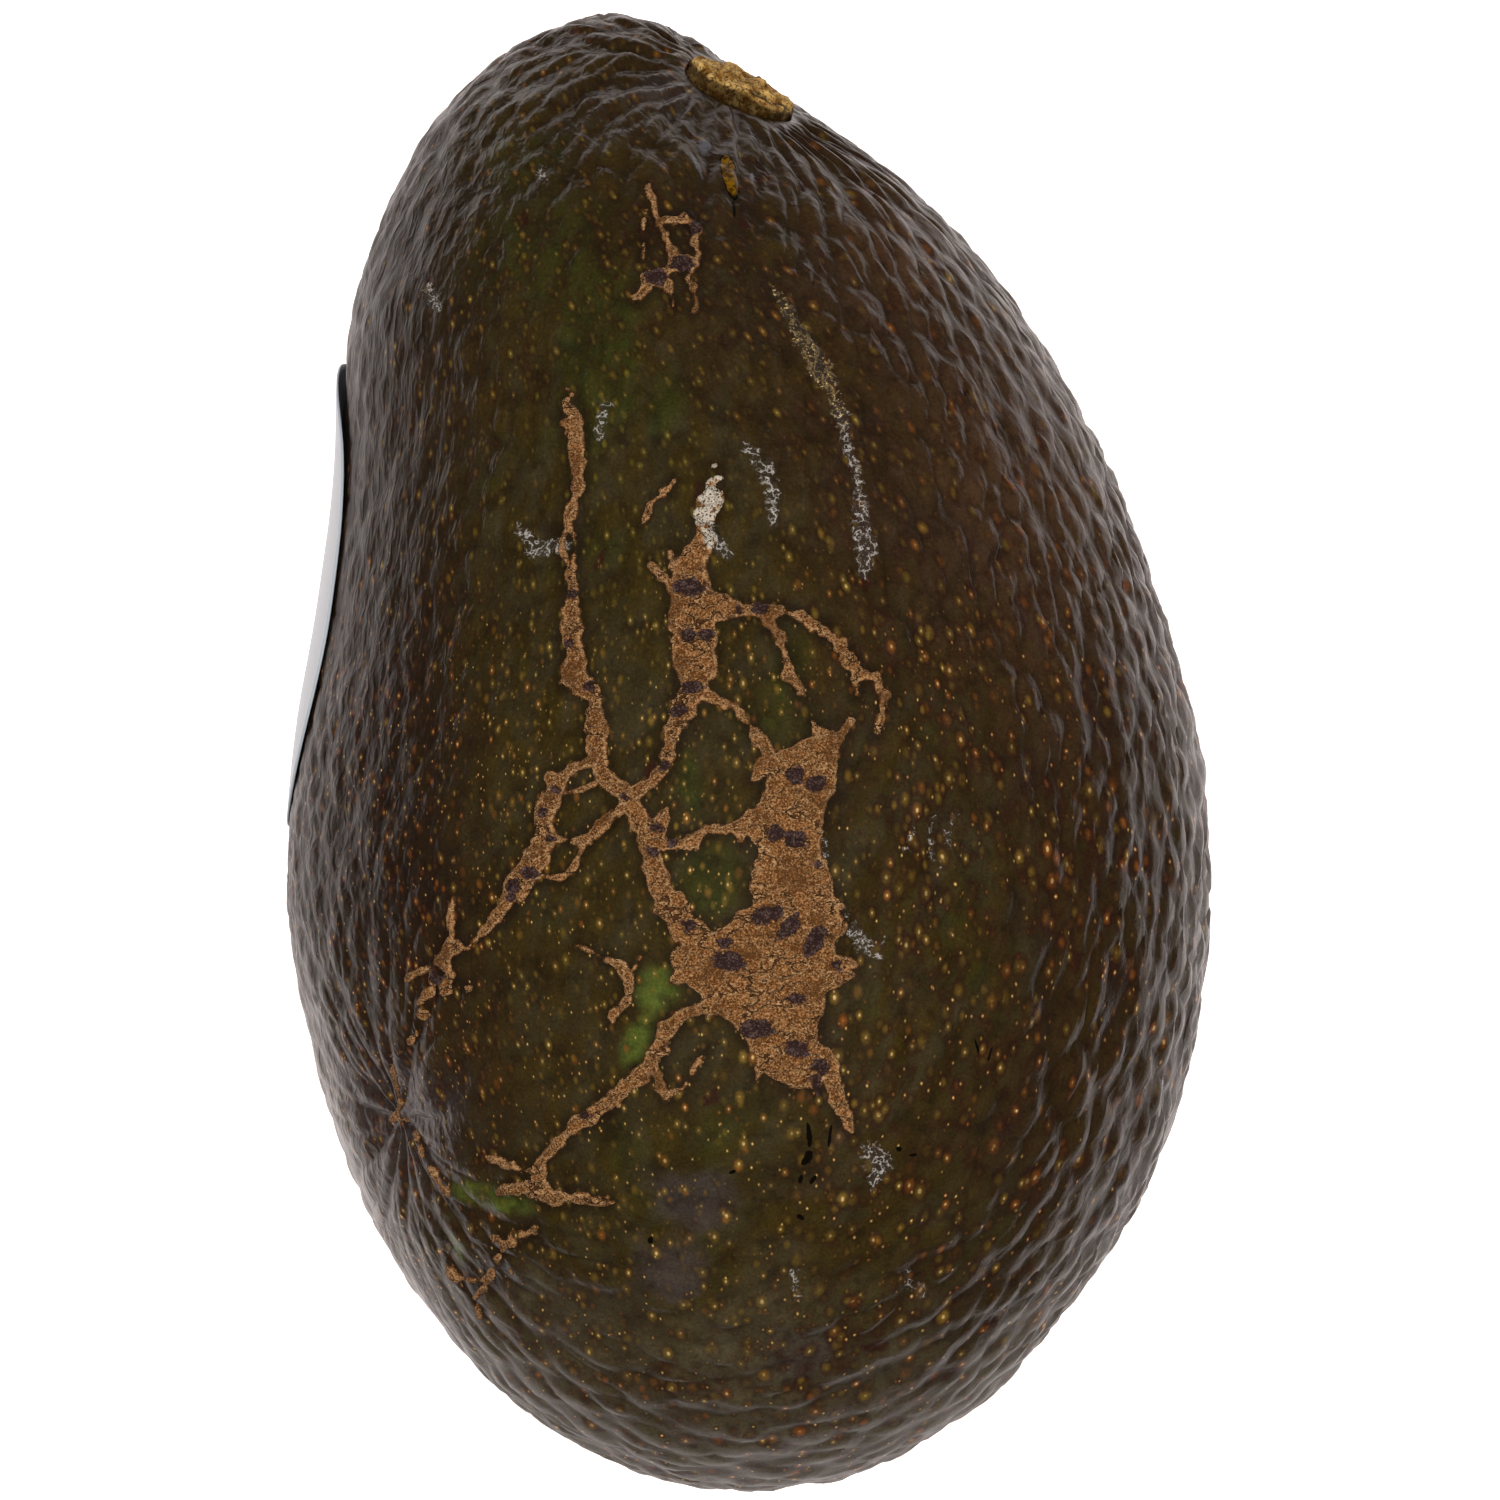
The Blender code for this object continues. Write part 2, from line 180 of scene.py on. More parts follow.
# Outward normal, from the body's points a little to either side.
def bodyNormal(direction):
    helper = np.where(np.abs(direction[..., 2:]) < 0.7, (0.0, 0.0, 1.0), (1.0, 0.0, 0.0))
    sideways = unit(np.cross(direction, helper))
    upwards = np.cross(direction, sideways)
    nudge = 0.002
    first = bodyPoint(unit(direction + nudge * sideways)) - bodyPoint(unit(direction - nudge * sideways))
    other = bodyPoint(unit(direction + nudge * upwards)) - bodyPoint(unit(direction - nudge * upwards))
    normal = unit(np.cross(first, other))
    outward = np.einsum("...i,...i", normal, direction)
    return normal * np.sign(outward)[..., None]


def upperDirection(spot):
    share = 2 * spot[1] / fruitShape["length"]
    across = (spot[0] - leanAt(share)) / halfWidthAt(share)
    return np.array([across, share, np.sqrt(1 - share**2 - across**2)])


stemAim = upperDirection(fruitShape["stemSpot"])
scarAim = upperDirection(fruitShape["scarSpot"])
poleCosine = stemAim @ scarAim
towardsScar = (scarAim - poleCosine * stemAim) / np.sqrt(1 - poleCosine**2)
besideScar = np.cross(stemAim, towardsScar)
scarReach = np.tan(np.arccos(poleCosine) / 2)
stemPoint = bodyPoint(stemAim)
scarPoint = bodyPoint(scarAim)


# Directions on meridians from the stem (tilt 0) to the scar (tilt pi). The ball is projected to a
# plane, the plane is bent by a Mobius map that moves the far pole to the scar, and projected back.
def meridianDirection(turn, tilt):
    plain = np.tan(tilt / 2) * np.exp(1j * turn)
    bent = plain / (1 + plain / scarReach)
    length = np.abs(bent) ** 2
    along = 2 * bent / (1 + length)
    return (along.real[..., None] * towardsScar + along.imag[..., None] * besideScar
            + ((1 - length) / (1 + length))[..., None] * stemAim)


# The same, backwards: which meridian a direction is on, and how far along it.
def turnAndTilt(direction):
    plane = (direction @ towardsScar + 1j * (direction @ besideScar)) / (1 + direction @ stemAim)
    plain = plane / (1 - plane / scarReach)
    return np.angle(plain), 2 * np.arctan(np.abs(plain))


# Unit vectors along the meridians, the way the pebbles run.
def flowAt(turn, tilt):
    ahead = bodyPoint(meridianDirection(turn, np.minimum(tilt + 0.01, 3.14)))
    behind = bodyPoint(meridianDirection(turn, np.maximum(tilt - 0.01, 0.001)))
    return unit(ahead - behind)


# For each tilt, the mean radius of its ring and the mean distance walked from the stem.
def flowTables():
    turns = np.linspace(0, 2 * np.pi, 181)
    tilts = np.linspace(0.002, np.pi - 0.002, 200)
    points = bodyPoint(meridianDirection(turns[None, :], tilts[:, None]))
    around = np.linalg.norm(np.diff(points, axis=1), axis=2).sum(axis=1) / (2 * np.pi)
    steps = np.linalg.norm(np.diff(points, axis=0), axis=2).mean(axis=1)
    return tilts, around, np.concatenate([[0], np.cumsum(steps)])


flowTilts, flowRadius, flowWalk = flowTables()


# Coordinates that follow the flow, as on a cylinder whose height is squeezed: noise read at them
# comes out long, in the direction in which the pebbles run, and longest near the stem.
def flowPlace(turn, tilt):
    share, takenOut, stemReach = skinRelief["flowSqueeze"]
    radius = np.interp(tilt, flowTilts, flowRadius)
    walked = np.interp(tilt, flowTilts, flowWalk)
    along = share * (walked - takenOut * (1 - np.exp(-walked / stemReach)))
    return np.stack([radius * np.cos(turn), radius * np.sin(turn), along], axis=-1)


# Where the camera sees a point, in millimetres on the plane of the fruit's outline.
def seenFromAbove(point):
    nearer = cameraDistance / (cameraDistance - point[..., 2])
    return point[..., 0] * nearer, point[..., 1] * nearer


# The body's direction under a spot in the camera's picture, found by a few corrections for height.
def directionUnder(seenX, seenY):
    firstGuess, corrections = 25.0, 6
    height = np.full(seenX.shape, firstGuess)
    for _ in range(corrections):
        nearer = 1 - height / cameraDistance
        share = np.clip(2 * seenY * nearer / fruitShape["length"], -0.999, 0.999)
        across = (seenX * nearer - leanAt(share)) / halfWidthAt(share)
        up = np.sqrt(np.maximum(1 - share**2 - across**2, 0.0001))
        height = fruitShape["depthShare"] * halfWidthAt(share) * up - fruitShape["neckDroop"] * share
    return unit(np.stack([across, share, up], axis=-1))


# Relief of the skin


skinRelief = {
    # the share of the walk that is kept, the millimetres taken out near the stem, and how far that goes
    "flowSqueeze": (0.42, 8.0, 12.0),
    "pebbleSize": 2.4,
    "pebbleStretch": 1.45,
    "pebbleDepth": 0.55,
    "groove": 0.4,                # share of a cell that is its groove
    "stemStretch": (2.2, 15),     # how much longer the pebbles are near the stem, and how far that goes
    "scarStretch": (1.2, 12),
    "swaySizes": (5, 1.9),
    "crests": ((2.2, 0.14), (1.2, 0.05)),  # size and height of the wavy crests that follow the flow
    "crestsEnd": (5, 36),         # how far below the middle they fade out
    "calmMiddle": (-6.0, -8.0),   # the smoother patch round the corky net
    "calmReach": (17.0, 40.0),
    "calmShare": 0.7,
    "leftFrom": (10, 28),         # how far left the label's side begins
    "leftShare": 0.5,             # how much flatter the pebbles are there
    "lumps": ((8, 0.16, 80), (3.6, 0.07, 36)),   # size, height, seed
    "stemFolds": (32, 0.20, 12.0),         # how many, how high, how far they reach
    "stemFoldsFrom": (4.8, 7),
    "scarDent": (1.3, 5.0),
    "scarFolds": (13, 0.24, 11.0),
    "scarFoldsFrom": (0.3, 3),
    "socketRadius": 4.15,
    "socketClosing": 1.3,         # how much the skin closes in on the side towards the camera
    "socketReach": 8,
    "socketDepth": 1.9,
    "stemLip": 0.12,
    "lipWidth": 0.8,
}


def calmPatch(seenX, seenY, height):
    middle, reach = skinRelief["calmMiddle"], skinRelief["calmReach"]
    away = np.hypot((seenX - middle[0]) / reach[0], (seenY - middle[1]) / reach[1])
    return (1 - smoothStep(0.55, 1.1, away)) * smoothStep(-4, 4, height)


# Height of the skin over the smooth body: pebbles as domes between V grooves, longer near the stem
# and the scar, wavy crests, soft lumps, folds that run into the stem and the scar, the scar's dent
# and the lip round the stem's socket.
def reliefAt(direction):
    turn, tilt = turnAndTilt(direction)
    point = bodyPoint(direction)
    flow = flowAt(turn, tilt)
    seenX, seenY = seenFromAbove(point)
    calm = calmPatch(seenX, seenY, point[..., 2])
    stemGap = point - stemPoint
    fromStem = np.linalg.norm(stemGap, axis=-1)
    facing = np.maximum(stemGap[..., 2] / np.maximum(fromStem, 0.1), 0)
    near = np.exp(-((fromStem / skinRelief["socketReach"]) ** 4))
    fromStem = fromStem + skinRelief["socketClosing"] * facing**2 * near
    fromScar = np.linalg.norm(point - scarPoint, axis=-1)

    stretch = 1
    for distance, key in ((fromStem, "stemStretch"), (fromScar, "scarStretch")):
        more, reach = skinRelief[key]
        stretch = stretch + more * bell(distance, reach)
    stretch = skinRelief["pebbleStretch"] * stretch
    wide, narrow = skinRelief["swaySizes"]
    sway = [softNoise(point, wide, seed) + 0.5 * softNoise(point, narrow, seed) for seed in (21, 22, 23)]
    sway = np.stack(sway, axis=-1)
    nearest, second = longCells(point + 0.7 * sway, flow, skinRelief["pebbleSize"], stretch, 31)
    edge = np.clip((second - nearest) / skinRelief["groove"], 0, 1)
    dome = np.clip(1.05 - 1.1 * nearest**2, 0, 1) * (0.45 + 0.55 * edge * (2 - edge))
    left = smoothStep(*skinRelief["leftFrom"], -seenX)
    depth = (1 - skinRelief["calmShare"] * calm) * (1 - skinRelief["leftShare"] * left)
    depth = depth * (0.85 + 0.35 * softNoise(point, 12, 24))
    rise = skinRelief["pebbleDepth"] * depth * (dome - 0.55)

    place = flowPlace(turn, tilt) + 0.6 * sway
    crestShare = 1 - smoothStep(*skinRelief["crestsEnd"], -seenY)
    for size, height in skinRelief["crests"]:
        crest = 1 - np.minimum(np.abs(softNoise(place, size, int(size * 100))) * 3, 1)
        rise = rise + height * depth * crestShare * crest * (2 - crest)
        dome = dome + 0.25 * (crest - 0.5) * crestShare
    rise = rise + layeredNoise(point, skinRelief["lumps"])
    count, height, reach = skinRelief["stemFolds"]
    folds = np.sin(count * turn + 3.5 * softNoise(point, 6, 25))
    rise = rise + height * folds * bell(fromStem, reach) * smoothStep(*skinRelief["stemFoldsFrom"], fromStem)
    count, height, reach = skinRelief["scarFolds"]
    folds = 1 - np.abs(np.sin(count / 2 * turn + 1.5 * softNoise(point, 7, 26))) ** 0.7
    rise = rise - height * folds * bell(fromScar, reach) * smoothStep(*skinRelief["scarFoldsFrom"], fromScar)
    depth, reach = skinRelief["scarDent"]
    rise = rise - depth * bell(fromScar, reach)
    socket, lip = skinRelief["socketRadius"], skinRelief["lipWidth"]
    rise = rise * smoothStep(socket - 0.2, socket + 1.5, fromStem)
    rise = rise + skinRelief["stemLip"] * bell(fromStem - socket - lip, lip)
    return {"point": point, "turn": turn, "tilt": tilt, "flow": flow, "rise": rise, "dome": dome,
            "calm": calm, "fromStem": fromStem, "fromScar": fromScar, "seenX": seenX, "seenY": seenY}


# Putting points into meshes


# A closed grid: rings of points round a body, with one pole before the first ring and one after the
# last. Returns all points and its faces.
def closedGrid(rings, firstPole, lastPole):
    count, around = rings.shape[:2]
    points = np.concatenate([rings.reshape(-1, 3), [firstPole, lastPole]])
    here = np.arange(count * around).reshape(count, around)
    there = np.roll(here, -1, axis=1)
    quads = np.stack([here[:-1], here[1:], there[1:], there[:-1]], axis=-1).reshape(-1, 4)
    first = np.stack([np.full(around, count * around), here[0], there[0]], axis=-1)
    last = np.stack([np.full(around, count * around + 1), there[-1], here[-1]], axis=-1)
    return points, quads.tolist() + first.tolist() + last.tolist()


def addPiece(name, points, faces, attributes=None):
    mesh = bpy.data.meshes.new(name)
    placed = (points + (0, 0, fruitShape["liftOffTable"])) * millimetre
    mesh.from_pydata(placed.tolist(), [], faces)
    for key, values in (attributes or {}).items():
        kind, field = ("FLOAT_VECTOR", "vector") if values.ndim == 2 else ("FLOAT", "value")
        stored = mesh.attributes.new(key, kind, "POINT")
        stored.data.foreach_set(field, values.astype(np.float32).ravel())
    mesh.shade_smooth()
    piece = bpy.data.objects.new(name, mesh)
    bpy.context.scene.collection.objects.link(piece)
    return piece


# Finishes


# A number carried by a shader socket. Arithmetic on it adds Math nodes.
class Wire:
    def __init__(self, finish, socket):
        self.finish = finish
        self.socket = socket

    def math(self, operation, first, second=0.0):
        node = self.finish.node("ShaderNodeMath", {"operation": operation}, {0: first, 1: second})
        return Wire(self.finish, node.outputs[0])

    def __add__(self, other):
        return self.math("ADD", self, other)

    def __radd__(self, other):
        return self.math("ADD", other, self)

    def __sub__(self, other):
        return self.math("SUBTRACT", self, other)

    def __rsub__(self, other):
        return self.math("SUBTRACT", other, self)

    def __mul__(self, other):
        return self.math("MULTIPLY", self, other)

    def __rmul__(self, other):
        return self.math("MULTIPLY", other, self)

    def atLeast(self, other):
        return self.math("MAXIMUM", self, other)

    # distance from a half
    def centred(self):
        return self.math("ABSOLUTE", self - 0.5)


# A material, its table of named colours, and the colour that has been painted so far.
class Finish:
    def __init__(self, name, fixed, colours=None):
        self.colours = colours
        self.painted = None
        self.material = bpy.data.materials.new(name)
        self.material.use_nodes = True
        self.tree = self.material.node_tree
        self.shader = self.tree.nodes["Principled BSDF"]
        for key, value in fixed.items():
            self.shader.inputs[key].default_value = value
        self.place = self.node("ShaderNodeTexCoord").outputs["Object"]

    # Any node: its type, its settings, then the values or links of its sockets.
    def node(self, kind, settings=None, sockets=None):
        made = self.tree.nodes.new(kind)
        for key, value in (settings or {}).items():
            setattr(made, key, value)
        for key, value in (sockets or {}).items():
            self.feed(self.socketOf(made, key), value)
        return made

    def socketOf(self, node, key):
        if isinstance(key, int):
            return node.inputs[key]
        return next(socket for socket in node.inputs if key in (socket.identifier, socket.name))

    # A socket takes a wire, another socket, a colour's name or a plain value.
    def feed(self, socket, value):
        if isinstance(value, str):
            value = (*self.colours[value], 1)
        if isinstance(value, Wire):
            value = value.socket
        if isinstance(value, bpy.types.NodeSocket):
            self.tree.links.new(value, socket)
        else:
            socket.default_value = value

    def attribute(self, name):
        return Wire(self, self.node("ShaderNodeAttribute", {"attribute_name": name}).outputs["Fac"])

    def vectorAttribute(self, name):
        return self.node("ShaderNodeAttribute", {"attribute_name": name}).outputs["Vector"]

    # Noise whose blobs are about 'size' millimetres wide: 0 to 1, mostly near 0.5.
    def noise(self, size, detail=2.0, place=None, unit=millimetre):
        sockets = {"Vector": place or self.place, "Scale": 1 / (size * unit), "Detail": detail}
        return Wire(self, self.node("ShaderNodeTexNoise", None, sockets).outputs["Fac"])

    def stretched(self, place, shares):
        made = self.node("ShaderNodeVectorMath", {"operation": "MULTIPLY"}, {0: place, 1: shares})
        return made.outputs["Vector"]

    # Scattered spots in cells of 'size' millimetres: distance to the nearest centre in millimetres,
    # and three random numbers that belong to it.
    def spots(self, size, place):
        cells = self.node("ShaderNodeTexVoronoi", None, {"Vector": place, "Scale": 1 / size})
        chances = self.node("ShaderNodeSeparateColor", None, {"Color": cells.outputs["Color"]})
        distance = Wire(self, cells.outputs["Distance"]) * size
        return distance, [Wire(self, chance) for chance in chances.outputs]

    # How far inside the nearest ellipse: 1 in its middle, 0 at its edge.
    def insideOf(self, ellipses, x, y):
        best = x * 0 - 9
        for ellipse in ellipses:
            across, upwards = inEllipse(x, y, ellipse)
            best = best.atLeast(1 - across * across - upwards * upwards)
        return best

    def step(self, value, low, high):
        sockets = {"Value": value, "From Min": low, "From Max": high}
        made = self.node("ShaderNodeMapRange", {"interpolation_type": "SMOOTHSTEP"}, sockets)
        return Wire(self, made.outputs["Result"])

    def blend(self, factor, first, second, how="MIX"):
        sockets = {"Factor_Float": factor, "A_Color": first, "B_Color": second}
        made = self.node("ShaderNodeMix", {"data_type": "RGBA", "blend_type": how}, sockets)
        return next(socket for socket in made.outputs if socket.identifier == "Result_Color")

    # Lays a colour over what has been painted so far, as thickly as the factor says.
    def paint(self, factor, colour):
        self.painted = self.blend(factor, self.painted, colour)

    # Bump from a height in millimetres.
    def bump(self, height):
        sockets = {"Height": height, "Distance": millimetre, "Strength": 1.0}
        self.set("Normal", self.node("ShaderNodeBump", None, sockets).outputs["Normal"])

    def set(self, socket, value):
        self.feed(self.shader.inputs[socket], value)


skinColours = {
    "olive": (0.043, 0.028, 0.0055),
    "brown": (0.042, 0.0225, 0.0085),
    "purple": (0.033, 0.0185, 0.013),
    "slate": (0.045, 0.0345, 0.016),
    "leaf": (0.035, 0.04, 0.008),
    "ruddy": (0.078, 0.04, 0.02),
    "plum": (0.07, 0.053, 0.05),
    "dust": (0.088, 0.069, 0.037),
    "green": (0.095, 0.12, 0.018),
    "groove": (0.01, 0.0055, 0.004),
    "hollow": (0.03, 0.01, 0.006),
    "orangeGlow": (0.24, 0.07, 0.012),
    "yellowGlow": (0.18, 0.105, 0.016),
    "greenGlow": (0.13, 0.11, 0.012),
    "paleDot": (0.62, 0.41, 0.16),
    "haze": (0.06, 0.048, 0.042),
    "flake": (0.6, 0.55, 0.49),
    "gold": (0.62, 0.43, 0.18),
    "spotLight": (0.18, 0.085, 0.004),
    "spotDark": (0.055, 0.026, 0.003),
    "black": (0.004, 0.003, 0.002),
    "bloom": (0.15, 0.15, 0.17),
}
# zones of the skin, from where to where in the camera's picture
skinZones = {
    "blossomEnd": (-34.0, -50.0),
    "stemEnd": (2.0, 18.0),
    "labelAcross": (-17.0, -26.0),
    "labelUp": (-24.0, -10.0),
}
bruises = {"cell": 5.0, "reach": (0.40, 0.65), "chance": (0.45, 0.50)}
# cell size, reach of the glow, reach of the bright heart, share of the cells that have one, and how
# much fewer there are towards the stem
lenticels = ((1.9, 0.60, 0.20, 1.00, 0.1), (1.15, 0.42, 0.15, 0.80, 0.6), (0.65, 0.20, 0.10, 0.50, 0.9))
smallMarks = {
    # x, y, half width, half height, turn if any, as the camera sees them
    "spot": ((-1.35, 41.2, 0.52, 1.45, 16),),
    "cracks": (
        (4.3, -29.3, 0.36, 0.7, -25), (4.4, -27.6, 0.22, 1.1, 5), (5.9, -27.8, 0.14, 0.9, -8),
        (3.8, -30.9, 0.18, 0.42, -15), (4.7, -30.9, 0.18, 0.4, -35), (3.8, -33.6, 0.36, 0.2, -35),
        (10.8, -28.6, 0.25, 0.22), (11.9, -29.1, 0.34, 0.14, 10), (-1, 39, 0.12, 0.7, 5),
        (-7, -35.2, 0.2, 0.3), (16.4, -21.2, 0.1, 0.7, 20), (17.4, -21.8, 0.1, 0.6, -15),
        (-1.1, -30.3, 0.3, 0.15, 20),
    ),
    "bloom": ((-3.1, 43.4, 0.5, 0.75, 20), (-3.7, 42, 0.2, 1.2, 25), (0.3, 41.2, 0.18, 0.5)),
}


# The skin is painted in layers, each over the ones before. A layer's mask is an attribute, a zone
# or a noise, and its edge is broken up by adding another noise before the step.
def skinFinish():
    finish = Finish("skin", {"Roughness": 0.3, "IOR": 1.22}, skinColours)
    step, blend, paint, noise = finish.step, finish.blend, finish.paint, finish.noise
    names = ("calm", "dome", "net", "unripe", "green", "leaf", "ruddy", "plum")
    calm, dome, net, unripe, green, leaf, ruddy, plum = map(finish.attribute, names)
    flow = finish.vectorAttribute("flow")
    seen = finish.node("ShaderNodeSeparateXYZ", None, {0: finish.vectorAttribute("seen")})
    seenX, seenY, upper = [Wire(finish, part) for part in seen.outputs]
    streaks = noise(1.6, 3.0, flow, 1.0)
    cloud = noise(9.0, 2.0)
    patches = noise(3.0, 3.0, flow, 1.0)
    blotches = noise(1.5, 4.0)
    ragged = noise(0.5, 3.0)
    grit = noise(0.2, 2.0)

    # green, olive and slate where it is unripe, and brown to purple elsewhere
    finish.painted = blend(step(cloud, 0.40, 0.62), "brown", "purple")
    paint(ruddy * (0.5 + patches), "ruddy")
    calmTone = blend(step(patches, 0.40, 0.62), "olive", "slate")
    leafy = step(noise(7.0, 2.0) + leaf * 0.40, 0.57, 0.80)
    calmTone = blend(leafy, calmTone, "leaf")
    paint(step(unripe + (patches - 0.5) * 0.9, 0.2, 0.8), calmTone)
    paint((streaks - 0.5) * 1.4 + 0.35 - 0.3 * ruddy, "olive")
    paint(step(plum + (cloud - 0.5) * 1.2 + (patches - 0.5) * 0.8, 0.3, 0.9) * 0.6, "plum")
    dusty = step(seenY + (cloud - 0.5) * 26, *skinZones["blossomEnd"]) * upper
    towardsStem = step(seenY + (cloud - 0.5) * 20, *skinZones["stemEnd"])
    paint(dusty * 0.9 * (0.5 + patches), "dust")
    # painted shade darkens the left flank beside the label, which is also made rougher further down
    shadedLabelSide = step(seenX, *skinZones["labelAcross"]) * step(seenY, *skinZones["labelUp"])
    paint(shadedLabelSide * 0.7, "groove")
    paint(step(green * (0.6 + blotches) + (patches - 0.5) * 0.7, 0.20, 0.85), "green")

    # darker in blotches, painted shade in the grooves between the pebbles, and a painted shadow on the skin
    # beside the cork
    paint(step(blotches, 0.52, 0.30) * 0.45, "groove")
    # painted shade in the pebbles' grooves
    paint((1 - dome) * 0.40, "groove")
    # painted shadow on the skin beside the raised cork net
    paint(step(net + (blotches - 0.5) * 0.8, -0.9, 0.1) * 0.6, "groove")

    # small dark bruises
    away, chance = finish.spots(bruises["cell"], flow)
    bruise = 1 - step(away + (blotches - 0.5) * 1.6, *bruises["reach"])
    paint(bruise * step(chance[0], *bruises["chance"]) * 0.8, "hollow")

    # lenticels: soft glows, longer along the flow, with bright hearts, in hollows of darker skin
    stretchedFlow = finish.stretched(flow, (1, 1, 2.0))
    crowd = 0.6 + 0.4 * step(noise(4.5, 2.0), 0.42, 0.56)
    for cell, glowReach, heartReach, share, fewerAtStem in lenticels:
        away, chance = finish.spots(cell, stretchedFlow)
        here = step(chance[0], 0.9 - share, 1.15 - share) * (1 - fewerAtStem * towardsStem) * crowd
        tint = blend(step(chance[1] + 0.5 * unripe, 0.35, 0.8), "orangeGlow", "yellowGlow")
        tint = blend(towardsStem * unripe * 0.8, tint, "greenGlow")
        hollow = (1 - step(away, glowReach, 1.7 * glowReach)) * here * (1 - calm)
        glow = (1 - step(away, 0.2 * glowReach, glowReach)) * here
        heart = (1 - step(away, 0.4 * heartReach, heartReach)) * here
        paint(hollow * 0.5, "hollow")
        paint(glow * (0.25 + 0.75 * chance[2]), tint)
        paint(heart * (0.3 + 0.9 * chance[2]) * (1 - 0.6 * towardsStem), "paleDot")

    # dry scuffs: pale hairs and golden grains in a grey haze
    hairs = (1 - noise(0.7, 4.0).centred() * 26).atLeast(0.0)
    grains = step(grit + (blotches - 0.5) * 0.5, 0.58, 0.68)
    for name, strength in (("flake", hairs.atLeast(grains * 0.25)), ("gold", grains.atLeast(hairs * 0.4))):
        mask = step(finish.attribute(name) + (ragged - 0.5) * 1.8, 0.45, 0.95)
        paint(mask * 0.35, "haze")
        paint(mask * strength * 0.8, name)

    # an oblong gold-brown spot with a dark edge, black cracks and a little waxy bloom
    edge = (ragged - 0.5) * 1.6
    spot = finish.insideOf(smallMarks["spot"], seenX, seenY) + edge * 0.35
    cracks = finish.insideOf(smallMarks["cracks"], seenX, seenY) + edge
    bloom = finish.insideOf(smallMarks["bloom"], seenX, seenY) + edge
    paint(step(bloom, 0.0, 0.8) * upper * 0.6, "bloom")
    paint(step(spot, -0.45, -0.2) * upper, "black")
    spotTone = blend(step(grit + ragged - 0.5, 0.35, 0.62), "spotDark", "spotLight")
    paint(step(spot, -0.1, 0.2) * upper, spotTone)
    paint(step(cracks, 0.1, 0.4) * upper, "black")

    # fine grain in the whole colour
    light = 0.46 + grit
    grey = finish.node("ShaderNodeCombineColor", None, {0: light, 1: light, 2: light}).outputs[0]
    finish.set("Base Color", blend(1.0, finish.painted, grey, "MULTIPLY"))
    finish.set("Roughness", 0.20 + 0.18 * blotches + 0.12 * dusty + 0.10 * shadedLabelSide)

    ridges = (1 - noise(2.1, 2.0, flow, 1.0).centred() * 6).atLeast(0.0)
    finish.bump(0.06 * ridges * (1 - 0.6 * calm) * (1 - 0.8 * dusty) + 0.05 * blotches + 0.02 * grit)
    return finish.material


corkColours = {
    "deep": (0.095, 0.036, 0.01),
    "tan": (0.25, 0.108, 0.036),
    "pale": (0.46, 0.26, 0.12),
    "corkShade": (0.035, 0.014, 0.006),
    "island": (0.026, 0.013, 0.011),
    "islandSpeck": (0.085, 0.05, 0.042),
    "wax": (0.56, 0.5, 0.4),
}


# Tan grain with seams and lips, dark islands and a waxy top; painted highlights on the grain's tops and on
# the lips, painted shade in the grain's hollows and the seams, and a painted shadow at the ragged edge.
def corkFinish():
    finish = Finish("dry cork", {"Roughness": 0.85, "IOR": 1.3}, corkColours)
    step, blend, paint, noise = finish.step, finish.blend, finish.paint, finish.noise
    island, wax, rim = map(finish.attribute, ("island", "wax", "rim"))
    grain = noise(0.14, 2.0)
    mottle = noise(0.5, 3.0)
    coarse = noise(2.2, 3.0)
    line = noise(1.7, 3.0, finish.stretched(finish.place, (1, 1.8, 1))).centred()
    shadedSeam = (1 - step(line, 0.008, 0.028)) * step(coarse, 0.48, 0.58)
    lip = step(line, 0.022, 0.034) * (1 - step(line, 0.04, 0.06))
    edgeHighlight = step(rim, 0.10, 0.35) * (1 - step(rim, 0.60, 0.80))
    finish.painted = blend(step(0.6 * grain + 0.25 * mottle + 0.15 * coarse, 0.42, 0.58), "deep", "tan")
    # painted highlights on the grain's tops and on the lips
    paint(step(grain, 0.55, 0.68) * 0.75, "pale")
    paint((lip + edgeHighlight * 0.5) * step(grain, 0.25, 0.55), "pale")
    # painted shade in the grain's hollows
    paint(step(grain, 0.43, 0.33) * 0.5, "corkShade")
    paint(step(coarse + (mottle - 0.5) * 0.4, 0.44, 0.36) * 0.55, "deep")
    # painted shade in the seams, and a painted shadow along the ragged edge
    paint(shadedSeam * 0.8, "corkShade")
    paint(step(rim, 0.78, 0.96) * 0.9, "corkShade")
    isle = step(island + (mottle - 0.5) * 1.0, -0.06, 0.08)
    paint(isle, blend(step(grain + (mottle - 0.5) * 0.8, 0.50, 0.68), "island", "islandSpeck"))
    waxy = step(wax + (mottle - 0.5) * 1.8, 0.40, 0.62) * step(grain, 0.36, 0.50)
    paint(waxy * 0.9, "wax")
    finish.set("Base Color", finish.painted)
    finish.set("Roughness", 0.85 - 0.35 * isle)
    finish.bump((0.09 * grain + 0.09 * lip - 0.12 * shadedSeam) * (1 - 0.7 * isle) + 0.10 * mottle)
    return finish.material


stemColours = {
    "brown": (0.22, 0.095, 0.014),
    "pale": (0.66, 0.41, 0.13),
    "crack": (0.05, 0.018, 0.004),
    "stubShade": (0.009, 0.0035, 0.001),
}


